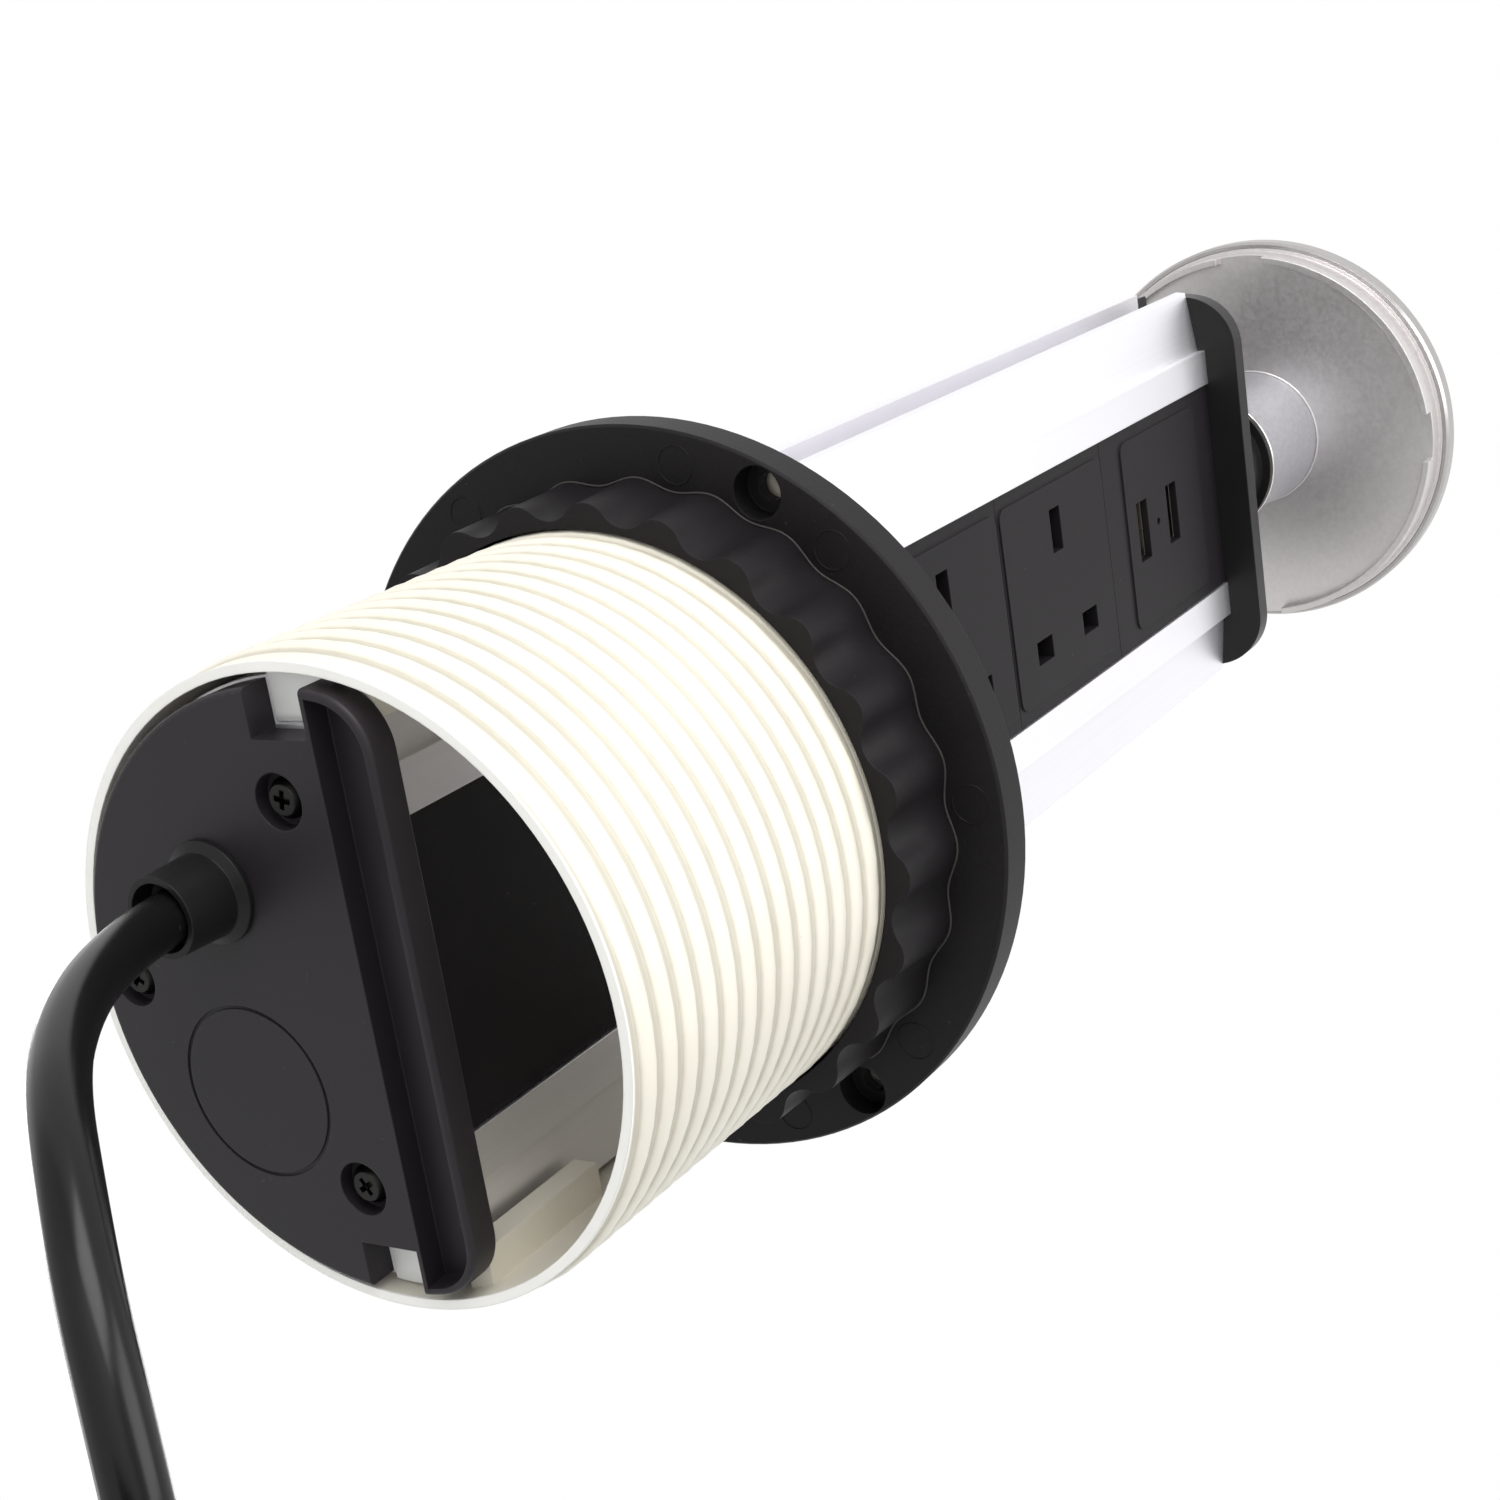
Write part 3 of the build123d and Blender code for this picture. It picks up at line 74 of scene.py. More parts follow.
turn = Matrix((IMAGE_RIGHT, upward, backward)).transposed().to_4x4()
camera.matrix_world = Matrix.Translation(CAMERA_SPOT) @ turn
bpy.context.scene.camera = camera
print("lens", round(camera_data.lens, 1), "mm at", [round(v, 3) for v in camera.location])

# %% [markdown]
# ## Mains lead
# The lead is one rubber cord of about a metre and a half. It leaves the gland, swings forward and drops.
# The photograph loses it at the lower edge, so the rest is wound into a tied coil just out of view, and
# a British plug hangs below. A NURBS line with few control points bends as evenly as a real cord does.
# The cord's radius is written on the points, with a bevel of one, because a line's box grows by it.

# %% Hang the mains lead
CORD_R = 3.8
COIL_X, COIL_Z, COIL_R = 37.5, -244.0, 39.0
COIL_FIRST_Y, COIL_PITCH, COIL_TURNS = -46.0, 8.2, 5
COIL_FALL = COIL_PITCH / (math.tau * COIL_R)
TURN_POINTS = 16
ABOVE_COIL, BELOW_COIL = 17.0, 13.0
lead_route = [
    (-15.0, 18.3, -91.5), (-14.7, 17.4, -103.2), (-15.1, 12.8, -114.3), (-15.3, 6.7, -125.0),
    (-14.7, -1.0, -135.2), (-12.9, -9.9, -144.8), (-8.0, -19.5, -153.4), (-0.1, -27.8, -160.9),
    (10.4, -34.5, -166.3), (22.4, -38.5, -169.7), (35.3, -39.7, -170.7), (49.4, -40.5, -176.1),
    (61.3, -41.2, -185.3), (70.1, -42.5, -197.4), (75.0, -44.0, -211.6),
    (COIL_X + COIL_R, COIL_FIRST_Y + COIL_FALL * ABOVE_COIL, COIL_Z + ABOVE_COIL),
]
wide = COIL_R / math.cos(math.pi / TURN_POINTS)
coil_route = []
for n in range(TURN_POINTS * COIL_TURNS):
    share = (n + 0.5) / TURN_POINTS
    angle = -math.tau * share
    coil_route.append((COIL_X + wide * math.cos(angle), COIL_FIRST_Y - COIL_PITCH * share,
                       COIL_Z + wide * math.sin(angle)))
coil_end_y = COIL_FIRST_Y - COIL_PITCH * COIL_TURNS
tail_route = [
    (COIL_X + COIL_R, coil_end_y - COIL_FALL * BELOW_COIL, COIL_Z - BELOW_COIL), (75.3, -87.8, -270.0),
    (72.6, -88.0, -282.5), (69.6, -88.0, -294.5), (68.0, -88.0, -305.0), (68.0, -88.0, -318.0),
]
route = [Vector(point) * MM for point in lead_route + coil_route + tail_route]
cord_data = bpy.data.curves.new("mains_lead", "CURVE")
cord_data.dimensions = "3D"
cord_line = cord_data.splines.new("NURBS")
cord_line.points.add(len(route) - 1)
for control, place in zip(cord_line.points, route):
    control.co = (*place, 1.0)
    control.radius = CORD_R * MM
cord_line.order_u = 3
cord_line.use_endpoint_u = True
cord_line.resolution_u = 6
cord_data.bevel_depth = 1.0
cord_data.bevel_resolution = 5
mains_lead = bpy.data.objects.new("mains_lead", cord_data)
bpy.context.scene.collection.objects.link(mains_lead)
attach(mains_lead, "tower")
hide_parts("cord_lead", "cord_coil", "cord_tail")
print("lead drawn with", len(route), "control points")

# %% [markdown]
# ## Mesh helper
# Small rounded details are easiest as rings of points joined by faces. This helper takes rows of points,
# joins each row to the next and closes the loops that need closing, which makes threads, beads and lines.

# %% Define the helper that skins rows of points
def skinned(name, rows, body, close_rows=False, close_ends=False):
    """Join rows of points into one smooth mesh piece that rides on a body."""
    mesh = bpy.data.meshes.new(name)
    count = len(rows[0])
    points = [tuple(v * MM for v in point) for row in rows for point in row]
    faces = []
    last_row = len(rows) if close_ends else len(rows) - 1
    last_point = count if close_rows else count - 1
    for r in range(last_row):
        for p in range(last_point):
            here, above = r * count, (r + 1) % len(rows) * count
            faces.append((here + p, here + (p + 1) % count, above + (p + 1) % count, above + p))
    mesh.from_pydata(points, [], faces)
    work = bmesh.new()
    work.from_mesh(mesh)
    bmesh.ops.recalc_face_normals(work, faces=work.faces)
    work.to_mesh(mesh)
    work.free()
    mesh.shade_smooth()
    piece = bpy.data.objects.new(name, mesh)
    bpy.context.scene.collection.objects.link(piece)
    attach(piece, body)
    print(name, len(mesh.polygons), "faces")
    return piece


def polar(radius, degrees, height):
    """A point at this distance and angle round the upright axis."""
    angle = math.radians(degrees)
    return (radius * math.cos(angle), radius * math.sin(angle), height)


def bead(centre_line, thick, sides=6):
    """Rows of a round bead that follows a closed line of points lying at about one height."""
    rows = []
    for n, here in enumerate(centre_line):
        before, after = Vector(centre_line[n - 1]), Vector(centre_line[(n + 1) % len(centre_line)])
        along = (after - before).normalized()
        out = along.cross(Vector((0, 0, 1))).normalized()
        row = []
        for s in range(sides):
            a = math.tau * s / sides
            row.append(tuple(Vector(here) + thick * (out * math.cos(a) + Vector((0, 0, 1)) * math.sin(a))))
        rows.append(row)
    return rows


# %% [markdown]
# ## Sleeve thread
# The sleeve has a coarse right-hand thread, moulded as broad rounded ridges with narrow grooves between
# them. One ridge profile is carried round the tube while it climbs by one pitch for each turn. At both
# ends the ridge sinks into the wall, as a moulded thread does where the tool's insert stops. Its first
# turn starts close above the tube's mouth, so only a narrow plain rim is left there.

# %% Roll the sleeve's thread
SLEEVE_R = 47.8
PITCH = 5.0
RIDGE = [(-1.95, -0.1), (-1.8, 0.18), (-1.45, 0.46), (-0.85, 0.67), (0.0, 0.74), (0.85, 0.67), (1.45, 0.46),
         (1.8, 0.18), (1.95, -0.1)]
THREAD_LOW, THREAD_FIRST_DEG, THREAD_TURNS, STEP_DEG = -84.76, -130, 16, 6
SUNK, RUN_OUT_DEG = 0.1, 40
thread_rows = []
steps = THREAD_TURNS * 360 // STEP_DEG
for n in range(steps + 1):
    grown = min(1.0, n * STEP_DEG / RUN_OUT_DEG, (steps - n) * STEP_DEG / RUN_OUT_DEG)
    centre = THREAD_LOW + PITCH * n * STEP_DEG / 360
    thread_rows.append([polar(SLEEVE_R - SUNK + (rise + SUNK) * grown, THREAD_FIRST_DEG + n * STEP_DEG,
                              centre + across) for across, rise in RIDGE])
sleeve_thread = skinned("sleeve_thread", thread_rows, "sleeve")

# %% [markdown]
# ## Marks of the mould
# The underside of the clamp ring shows round witness marks where pins pushed it out of its mould, and a
# fine raised line runs where the lobed nut meets the ring. The line is painted paler than the ring, a painted
# highlight for the glint along the nut's edge. They are tiny beads, half sunk in the surface.

# %% Add the mould's marks
RING_LOW = -7.4
SCREW_HOLES_DEG = (88.5, -31.5, -151.5)
PINS_FROM_HOLE_DEG = (-15, 15, 60)
PIN_CIRCLE_R, PIN_R, PIN_POINTS, PIN_LINE = 56.6, 3.1, 28, 0.13
NUT_EDGE_R, LOBES, LOBE_RISE, FIRST_LOBE_DEG = 52.95, 24, 0.7, 96.0
NUT_LINE, NUT_LINE_DROP = 0.2, 0.12
marks = []
for hole_deg in SCREW_HOLES_DEG:
    for offset in PINS_FROM_HOLE_DEG:
        middle = Vector(polar(PIN_CIRCLE_R, hole_deg + offset, RING_LOW))
        circle = [tuple(middle + Vector(polar(PIN_R, 360 * n / PIN_POINTS, 0.0))) for n in range(PIN_POINTS)]
        marks.append(skinned("ring_mark", bead(circle, PIN_LINE), "clamp_ring", True, True))
lobes = [polar(NUT_EDGE_R + LOBE_RISE * math.cos(math.radians(LOBES * (half / 2 - FIRST_LOBE_DEG))), half / 2,
               RING_LOW - NUT_LINE_DROP) for half in range(720)]
nut_line = skinned("nut_line", bead(lobes, NUT_LINE), "clamp_nut", True, True)

# %% [markdown]
# ## Glint bead and rolled edge of the stem
# A bright bead of near-white metal around the lip of the black neck, where the stem sits on it, is a
# painted highlight that stands in for the glint on the neck's edge. A fine rolled edge closes the joint
# between the stem and the lid. Each is a thin round bead, half sunk in its corner.

# %% Roll the two edges of the stem
NECK_TOP, LID_UNDERSIDE = 234.2, 264.9
NECK_LIP_R, STEM_HEAD_R = 16.3, 16.6
EDGE_BEAD = 0.3
# painted highlight: a near-white bead on the neck's lip stands in for the glint on its edge
neck_glint_bead = skinned("neck_glint_bead", bead([polar(NECK_LIP_R, deg, NECK_TOP) for deg in range(0, 360, 5)],
                                      EDGE_BEAD), "tower", True, True)
stem_edge = skinned("stem_edge", bead([polar(STEM_HEAD_R, deg, LID_UNDERSIDE) for deg in range(0, 360, 5)],
                                      EDGE_BEAD), "tower", True, True)

# %% [markdown]
# ## Shader helper
# A finish is easier to read as a formula than as a drawing of nodes. This class wraps one output socket,
# so plus, minus and times add Math nodes, and one method adds any other node with its settings first.

# %% Define the shader helper
class Wire:
    """One output of a node tree, which Python's signs can work on."""

    def __init__(self, tree, socket=None):
        self.tree = tree
        self.socket = socket

    def node(self, kind, settings=None, inputs=None, out=0):
        made = self.tree.nodes.new("ShaderNode" + kind)
        for key, value in (settings or {}).items():
            setattr(made, key, value)
        for key, value in (inputs or {}).items():
            if isinstance(value, Wire):
                self.tree.links.new(value.socket, made.inputs[key])
            else:
                made.inputs[key].default_value = value
        return Wire(self.tree, made.outputs[out])

    def maths(self, operation, first, second, clamp=False):
        return self.node("Math", {"operation": operation, "use_clamp": clamp}, {0: first, 1: second})

    def __add__(self, other):
        return self.maths("ADD", self, other)

    def __radd__(self, other):
        return self.maths("ADD", other, self)

    def __sub__(self, other):
        return self.maths("SUBTRACT", self, other)

    def __rsub__(self, other):
        return self.maths("SUBTRACT", other, self)

    def __mul__(self, other):
        return self.maths("MULTIPLY", self, other)

    def __rmul__(self, other):
        return self.maths("MULTIPLY", other, self)

    def clamped(self, gain=1.0):
        return self.maths("MULTIPLY", self, gain, clamp=True)

    def blend(self, dark, light):
        """Mix two colours by this value."""
        return self.node("Mix", {"data_type": "RGBA"}, {0: self, 6: dark, 7: light}, out=2)

    def window(self, low, high):
        """Nought below low, one above high and smooth between."""
        return self.node("MapRange", {"interpolation_type": "SMOOTHSTEP"}, {0: self, 1: low, 2: high})


# %% [markdown]
# ## Base for every finish
# Each finish starts from one physically based shader. A Bevel node rounds the normals at sharp corners,
# so edges catch the light as moulded and extruded edges do, and the angle between the rounded and the
# true normal gives a mask for edges that hands have polished or scuffed. Fine noise makes the texture.

# %% Define the base of every finish
CORNER_R = 0.3 * MM
GRAIN_DEPTH, LINE_DEPTH = 0.1 * MM, 0.05 * MM
CREASE_DEG = 32


def rgba(colour, gain=1.0):
    """A colour with its alpha, made lighter or darker by the gain."""
    return (*[min(1.0, c * gain) for c in colour], 1.0)


def new_finish(name):
    """A material with its shader, ready for its sockets to be fed."""
    material = bpy.data.materials.new(name)
    material.use_nodes = True
    tree = material.node_tree
    tree.nodes.clear()
    shader = tree.nodes.new("ShaderNodeBsdfPrincipled")
    output = tree.nodes.new("ShaderNodeOutputMaterial")
    tree.links.new(shader.outputs[0], output.inputs[0])
    return material, Wire(tree), shader


def edges(wire, radius):
    """Rounded normals and a mask that is one on the sharpest edges."""
    rounded = wire.node("Bevel", {"samples": 6}, {"Radius": radius})
    true_normal = wire.node("NewGeometry", out=1)
    match = wire.node("VectorMath", {"operation": "DOT_PRODUCT"}, {0: rounded, 1: true_normal}, out=1)
    return rounded, (1.0 - match).clamped(5.0)


def place(wire, scale=(1.0, 1.0, 1.0)):
    """Object coordinates, which are the model's own metres, stretched if a grain runs one way."""
    return wire.node("Mapping", {}, {"Vector": wire.node("TexCoord", out=3), "Scale": scale})


def noise(wire, where, scale, detail=2.0):
    """Soft noise, where scale is its number of blobs in a metre."""
    return wire.node("TexNoise", {}, {"Vector": where, "Scale": scale, "Detail": detail})


def feed(wire, shader, socket, value):
    """Link a value to one socket of the shader."""
    wire.tree.links.new(value.socket, shader.inputs[socket])


def bumped(wire, rounded, height, strength, distance):
    """Normals with this relief on top of the rounded corners."""
    return wire.node("Bump", {}, {"Strength": strength, "Distance": distance, "Height": height,
                                  "Normal": rounded})


def moulded(name, colour, rough, grain, relief, gloss=0.5, scuff=1.6, haze=0.25):
    """A moulded plastic: fine spark grain, faint flow clouds, a few dust specks and paler edges."""
    material, wire, shader = new_finish(name)
    rounded, edge = edges(wire, CORNER_R)
    where = place(wire)
    cloud = noise(wire, where, 38.0, 4.0)
    fine = noise(wire, where, grain, 3.0)
    dust = noise(wire, where, 620.0, 2.0).window(0.74, 0.82)
    tint = (cloud.window(0.35, 0.7) * haze).blend(rgba(colour), rgba(colour, 1.5))
    tint = (edge * 0.5).blend(tint, rgba(colour, scuff + 0.6))
    tint = (dust * 0.06).blend(tint, (0.45, 0.43, 0.43, 1.0))
    feed(wire, shader, "Base Color", tint)
    feed(wire, shader, "Roughness", (cloud * 0.12 + fine * 0.06 + (rough - 0.09)).clamped())
    feed(wire, shader, "Normal", bumped(wire, rounded, fine, relief, GRAIN_DEPTH))
    shader.inputs["Specular IOR Level"].default_value = gloss
    return material


def satin_metal(name, colour, rough, grain_scale, relief, soft=CORNER_R, spread=0.12, tone=0.05):
    """Satin metal, whose grain runs in lines where its scale is much smaller one way."""
    material, wire, shader = new_finish(name)
    rounded, edge = edges(wire, soft)
    streak = noise(wire, place(wire, grain_scale), 1.0, 3.0)
    cloud = noise(wire, place(wire), 30.0, 3.0)
    tint = streak.window(0.3, 0.7).blend(rgba(colour, 1.0 - tone), rgba(colour, 1.0 + tone))
    tint = (edge * 0.6).blend(tint, rgba(colour, 1.12))
    feed(wire, shader, "Base Color", tint)
    feed(wire, shader, "Roughness", (streak * spread + cloud * 0.08 + (rough - spread / 2 - 0.04)).clamped())
    feed(wire, shader, "Normal", bumped(wire, rounded, streak, relief, LINE_DEPTH))
    shader.inputs["Metallic"].default_value = 1.0
    return material


dressed = set()


def dress(material, *names):
    """Give this finish to each named solid's every face."""
    dressed.update(names)
    for name in names:
        mesh = nodes[name].data
        mesh.materials.clear()
        mesh.materials.append(material)
        mesh.polygons.foreach_set("material_index", [0] * len(mesh.polygons))
        mesh.shade_smooth()
        mesh.set_sharp_from_angle(angle=math.radians(CREASE_DEG))
    print(material.name, "on", ", ".join(names))


# %% [markdown]
# ## Ivory sleeve
# The sleeve is an ivory moulding, nearly white where light falls on it. The grooves of its thread are
# painted a little darker and warmer, as painted shade for the shade that falls in them. The mask for them
# is worked out as the thread is: the height above the first turn, less the share of a turn already made,
# gives the place across a ridge.
# The cut rim of the mouth is painted paler, a painted highlight for the light on its end face, and a few
# brown specks lie on the wall.

# %% Finish the sleeve
ivory_finish, wire, shader = new_finish("ivory_moulding")
rounded, edge = edges(wire, CORNER_R)
where = place(wire)
from_axis = wire.node("VectorMath", {"operation": "LENGTH"}, {0: place(wire, (1.0, 1.0, 0.0))}, out=1)
outside = from_axis.window(47.4 * MM, 47.7 * MM)
cloud = noise(wire, where, 24.0, 4.0)
grain = noise(wire, where, 1500.0, 2.0)
across = wire.node("SeparateXYZ", {}, {0: where})
depth = wire.node("SeparateXYZ", {}, {0: where}, out=1)
height = wire.node("SeparateXYZ", {}, {0: where}, out=2)
first_share = THREAD_FIRST_DEG / 360
turned = wire.maths("FRACT", wire.maths("ARCTAN2", depth, across) * (1 / math.tau) - first_share, 0.0)
climbed = (height - THREAD_LOW * MM) * (1 / (PITCH * MM)) - turned
off_crest = wire.maths("ABSOLUTE", wire.maths("FRACT", climbed + 0.5, 0.0) - 0.5, 0.0)
threaded = climbed.window(-0.68, -0.6) * (1.0 - height.window(-5.0 * MM, -3.5 * MM)) * outside
# painted shade: this mask darkens the thread's grooves, where shade falls between the ridges
groove_shade_mask = off_crest.window(0.27, 0.46) * threaded
ridge_tint = cloud.window(0.35, 0.7).blend((0.765, 0.725, 0.62, 1.0), (0.82, 0.785, 0.69, 1.0))
# the darker, warmer colour of the painted shade in the grooves
groove_shade_tint = cloud.window(0.3, 0.7).blend((0.475, 0.445, 0.37, 1.0), (0.55, 0.52, 0.44, 1.0))
tint = groove_shade_mask.blend(ridge_tint, groove_shade_tint)
# painted highlight: the end face of the rim at the mouth is painted paler for the light that falls on it
tint = (1.0 - height.window(-87.4 * MM, -86.9 * MM)).blend(tint, (0.95, 0.94, 0.90, 1.0))
tint = (noise(wire, where, 260.0, 3.0).window(0.74, 0.79) * 0.45).blend(tint, (0.42, 0.38, 0.28, 1.0))
feed(wire, shader, "Base Color", tint)
feed(wire, shader, "Roughness", (cloud * 0.15 + 0.33).clamped())
feed(wire, shader, "Normal", bumped(wire, rounded, grain, 0.06, GRAIN_DEPTH))
dress(ivory_finish, "sleeve")
sleeve_thread.data.materials.append(ivory_finish)

# %% [markdown]
# ## Black mouldings
# The clamp ring and nut have a coarse matt texture that hides finger marks. The end cap is smoother and
# looks a little greyer, and the outlet faces have the finest grain. The shutters behind the slots are
# painted darker, as painted shade, so that the slots read as openings. One recipe serves all of them with
# its own numbers.

# %% Finish the black mouldings
clamp_finish = moulded("matt_black_clamp", (0.0100, 0.0088, 0.0098), 0.46, 1500.0, 0.3, 0.16)
cap_finish = moulded("black_end_cap", (0.0170, 0.0140, 0.0168), 0.44, 2400.0, 0.14, 0.30)
face_finish = moulded("black_outlet_face", (0.0105, 0.0090, 0.0104), 0.5, 2800.0, 0.2, 0.14)
# painted shade: this finish makes the shutters darker than the face, so the slots read as openings
inner_finish = moulded("dark_inner_plastic", (0.005, 0.005, 0.005), 0.6, 2400.0, 0.1, 0.08)
satin_finish = moulded("satin_black_fitting", (0.010, 0.0095, 0.0095), 0.34, 2600.0, 0.08, 0.22)
dress(clamp_finish, "clamp_ring", "clamp_nut")
dress(cap_finish, "end_cap")
dress(face_finish, "socket_a", "socket_b", "socket_c", "usb_module", "blank_plate")
dress(inner_finish, "shutter_a", "shutter_b", "shutter_c", "bar_tray", "gland_nut")
dress(satin_finish, "top_plate", "neck", "cord_gland", "plug_cover", "plug_base", "coil_tie")
for mark in marks:
    mark.data.materials.append(clamp_finish)
# painted highlight: the nut's line is paler than the ring, standing in for the glint along its edge
glint_line_finish = moulded("painted_glint_line", (0.045, 0.043, 0.04), 0.42, 2200.0, 0.08, 0.2)
nut_line.data.materials.append(glint_line_finish)

# %% [markdown]
# ## Rubber lead
# The lead's jacket is satin black rubber. A faint lengthwise flow and a soft, wide highlight matter more
# than colour here, so its roughness varies slowly and the bump is very fine.

# %% Finish the lead
cord_finish = moulded("lead_jacket", (0.006, 0.0058, 0.0058), 0.24, 1900.0, 0.04, 0.26, haze=0.1)
mains_lead.data.materials.append(cord_finish)
dress(cord_finish, "plug_grip", "cord_lead", "cord_coil", "cord_tail")

# %% [markdown]
# ## Metals
# The tower is an anodised extrusion, so its fine lines run along its length. The lid, its stem and the
# trim ring are turned and bead blasted, which gives a fine grain with no direction. Contacts are brass,
# the port shells are nickel plated, and the screws are blackened.

# %% Finish the metals
extrusion_finish = satin_metal("anodised_extrusion", (0.90, 0.89, 0.92), 0.43, (1400.0, 1400.0, 9.0),
                               0.004, spread=0.015, tone=0.01)
lid_finish = satin_metal("blasted_lid", (0.75, 0.72, 0.715), 0.42, (900.0, 900.0, 900.0), 0.05,
                         tone=0.03)
stem_finish = satin_metal("satin_stem", (0.58, 0.585, 0.62), 0.38, (900.0, 900.0, 900.0), 0.02)
trim_finish = satin_metal("satin_trim", (0.47, 0.455, 0.45), 0.32, (700.0, 700.0, 700.0), 0.02,
                          soft=0.12 * MM, tone=0.03)
# painted highlight: a near-white, glossy metal for the bead on the neck's lip, in place of its glint
glint_bead_finish = satin_metal("painted_glint_edge", (0.93, 0.91, 0.88), 0.16, (700.0, 700.0, 700.0), 0.02)
brass_finish = satin_metal("pressed_brass", (0.72, 0.52, 0.25), 0.28, (500.0, 500.0, 60.0), 0.06)
nickel_finish = satin_metal("plated_shell", (0.12, 0.115, 0.105), 0.30, (500.0, 60.0, 500.0), 0.05)
screw_finish = satin_metal("blackened_screw", (0.035, 0.034, 0.033), 0.34, (800.0, 800.0, 800.0), 0.12)
dress(extrusion_finish, "tower_body")
dress(lid_finish, "lid_base")
dress(stem_finish, "lid_stem")
dress(trim_finish, "lid_cover", "trim_ring")
dress(brass_finish, "earth_bar", "live_bar", "neutral_bar", "plug_pins")
dress(nickel_finish, "usb_shells", "lid_bolt", "shutter_spring_a", "shutter_spring_b", "shutter_spring_c")
dress(screw_finish, "end_cap_screws", "top_plate_screws")
neck_glint_bead.data.materials.append(glint_bead_finish)
stem_edge.data.materials.append(lid_finish)

# %% [markdown]
# ## Small parts
# The felt strips and the foam gasket are soft and take light without a highlight. The glides are white
# nylon. The lower port's tongue is the usual pale insulating plastic and the upper one's is dark, as in the
# photograph. The board has a green lacquer, and the fuse carrier is red, so that it can be found.

# %% Finish the small parts
felt_finish = moulded("dark_felt", (0.05, 0.05, 0.05), 0.9, 900.0, 0.9, 0.1)
foam_finish = moulded("grey_foam", (0.09, 0.09, 0.088), 0.88, 1200.0, 0.7, 0.1)
glide_finish = moulded("white_nylon", (0.84, 0.84, 0.83), 0.4, 2200.0, 0.05, scuff=0.6, haze=0.0)
tongue_finish = moulded("pale_insulator", (0.93, 0.84, 0.66), 0.45, 2200.0, 0.06, scuff=1.02)
board_finish = moulded("green_lacquer", (0.02, 0.13, 0.06), 0.25, 1200.0, 0.06, scuff=1.1)
fuse_finish = moulded("red_fuse_carrier", (0.32, 0.02, 0.018), 0.35, 2400.0, 0.06, scuff=1.1)
dress(felt_finish, "felt_strips")
dress(foam_finish, "worktop_gasket")
dress(glide_finish, "side_glides")
dress(tongue_finish, "usb_tongues")
tongues = nodes["usb_tongues"].data
tongues.materials.append(inner_finish)
middle_z = sum(v.co.z for v in tongues.vertices) / len(tongues.vertices)
for face in tongues.polygons:
    face.material_index = 1 if face.center.z > middle_z else 0
dress(board_finish, "usb_board")
dress(fuse_finish, "fuse_carrier")
print("solids without a finish:", sorted(set(nodes) - dressed))

# %% [markdown]
# ## Shutter springs
# A shutter pushes its small coil spring together as it opens. The spring is a solid of the model, and here
# each spring only gets its own copy of its mesh.

# %% Give each spring its own mesh
for letter in "abc":
    spring = nodes["shutter_spring_" + letter]
    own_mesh(spring)

# %% [markdown]
# ## Floor
# The part hangs from its worktop hole, and no worktop is shown. A large pale floor lies well below the
# plug, low enough to stay clear when the tower slides down, and gives soft light from below. Seen by the
# camera it is lifted towards white, wholly so at a distance, and near the part it keeps a share of its own
# shading for the part's shadow.

# %% Lay the floor
FLOOR_Z, FLOOR_REACH = -0.70, 6.0
FADE_FROM, FADE_TO, WHITE_NEAR = 0.5, 2.5, 0.6
floor_mesh = bpy.data.meshes.new("floor")
corners = [(FLOOR_REACH * x, FLOOR_REACH * y, FLOOR_Z) for x, y in ((-1, -1), (1, -1), (1, 1), (-1, 1))]
floor_mesh.from_pydata(corners, [], [(0, 1, 2, 3)])
floor = bpy.data.objects.new("floor", floor_mesh)
bpy.context.scene.collection.objects.link(floor)
floor_finish, wire, shader = new_finish("pale_floor")
cloud = noise(wire, place(wire), 3.0, 2.0)
feed(wire, shader, "Base Color", cloud.blend((0.83, 0.83, 0.82, 1.0), (0.86, 0.86, 0.85, 1.0)))
shader.inputs["Roughness"].default_value = 0.8
backdrop = wire.node("Emission", {}, {"Color": (1.0, 1.0, 1.0, 1.0), "Strength": 1.0})
distance = wire.node("VectorMath", {"operation": "LENGTH"}, {0: place(wire)}, out=1)
share = wire.node("LightPath", out=0) * (distance.window(FADE_FROM, FADE_TO) * (1 - WHITE_NEAR) + WHITE_NEAR)
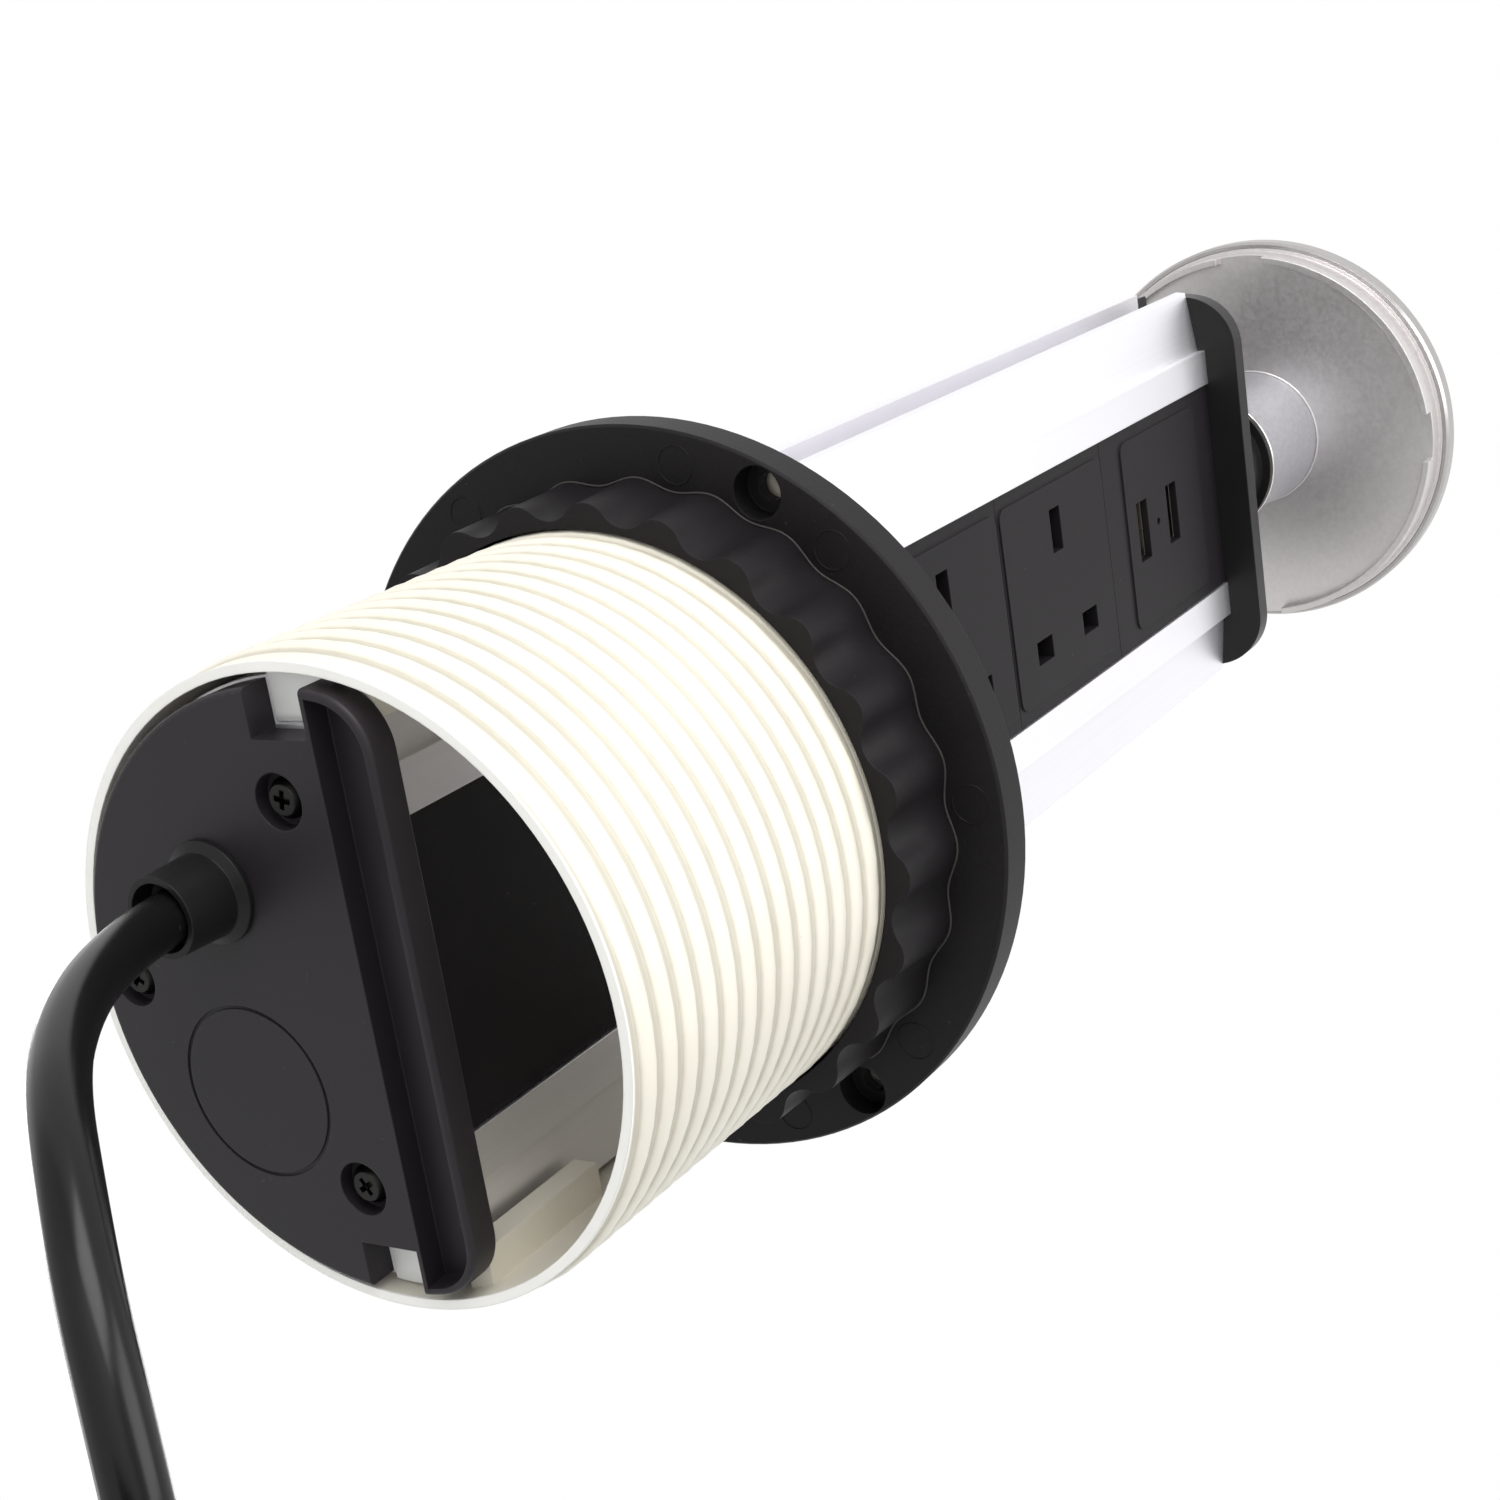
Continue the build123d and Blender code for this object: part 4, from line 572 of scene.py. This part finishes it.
lifted = wire.node("MixShader", {}, {0: share, 1: Wire(wire.tree, shader.outputs[0]), 2: backdrop})
wire.tree.links.new(lifted.socket, wire.tree.nodes["Material Output"].inputs[0])
floor.data.materials.append(floor_finish)

# %% [markdown]
# ## Light
# The photograph was made in a white tent: light from everywhere, a stronger soft source from the upper
# left of the picture and another along the face. A third box stands behind, for the sides that the
# photograph doesn't show. The world gives even light at a plain level, and shows as pure white to the
# camera, in reflections and through glass, so that metal looks as it does in a white tent.

# %% Light the scene
EVEN_LEVEL, WHITE_LEVEL = 0.62, 1.0
world = bpy.data.worlds.new("white_tent")
bpy.context.scene.world = world
world.use_nodes = True
world.node_tree.nodes.clear()
sky = Wire(world.node_tree)
path = sky.node("LightPath", out=0)
shiny = sky.node("LightPath", out=3)
through = sky.node("LightPath", out=6)
seen = (path + shiny + through).clamped()
even = sky.node("Background", {}, {"Color": (0.97, 0.98, 1.0, 1.0), "Strength": EVEN_LEVEL})
white = sky.node("Background", {}, {"Color": (1.0, 1.0, 1.0, 1.0), "Strength": WHITE_LEVEL})
mixed = sky.node("MixShader", {}, {0: seen, 1: even, 2: white})
world_output = world.node_tree.nodes.new("ShaderNodeOutputWorld")
world.node_tree.links.new(mixed.socket, world_output.inputs[0])


def soft_box(name, spot, aim, size, power):
    """A square softbox at a place, turned to its aim."""
    data = bpy.data.lights.new(name, "AREA")
    data.size = size
    data.energy = power
    lamp = bpy.data.objects.new(name, data)
    bpy.context.scene.collection.objects.link(lamp)
    lamp.location = spot
    lamp.rotation_mode = "QUATERNION"
    lamp.rotation_quaternion = (Vector(aim) - Vector(spot)).to_track_quat("-Z", "Y")
    print(name, "at", spot, power, "W")


soft_box("upper_left_box", (-1.1, -0.5, -0.2), (0.0, 0.0, 0.0), 0.8, 11.0)
soft_box("front_box", (-0.35, -1.2, 0.3), (0.0, 0.0, 0.05), 0.9, 9.0)
soft_box("back_box", (0.7, 1.2, 0.8), (0.0, 0.0, 0.1), 0.9, 9.0)
bpy.context.scene.view_settings.view_transform = "Standard"
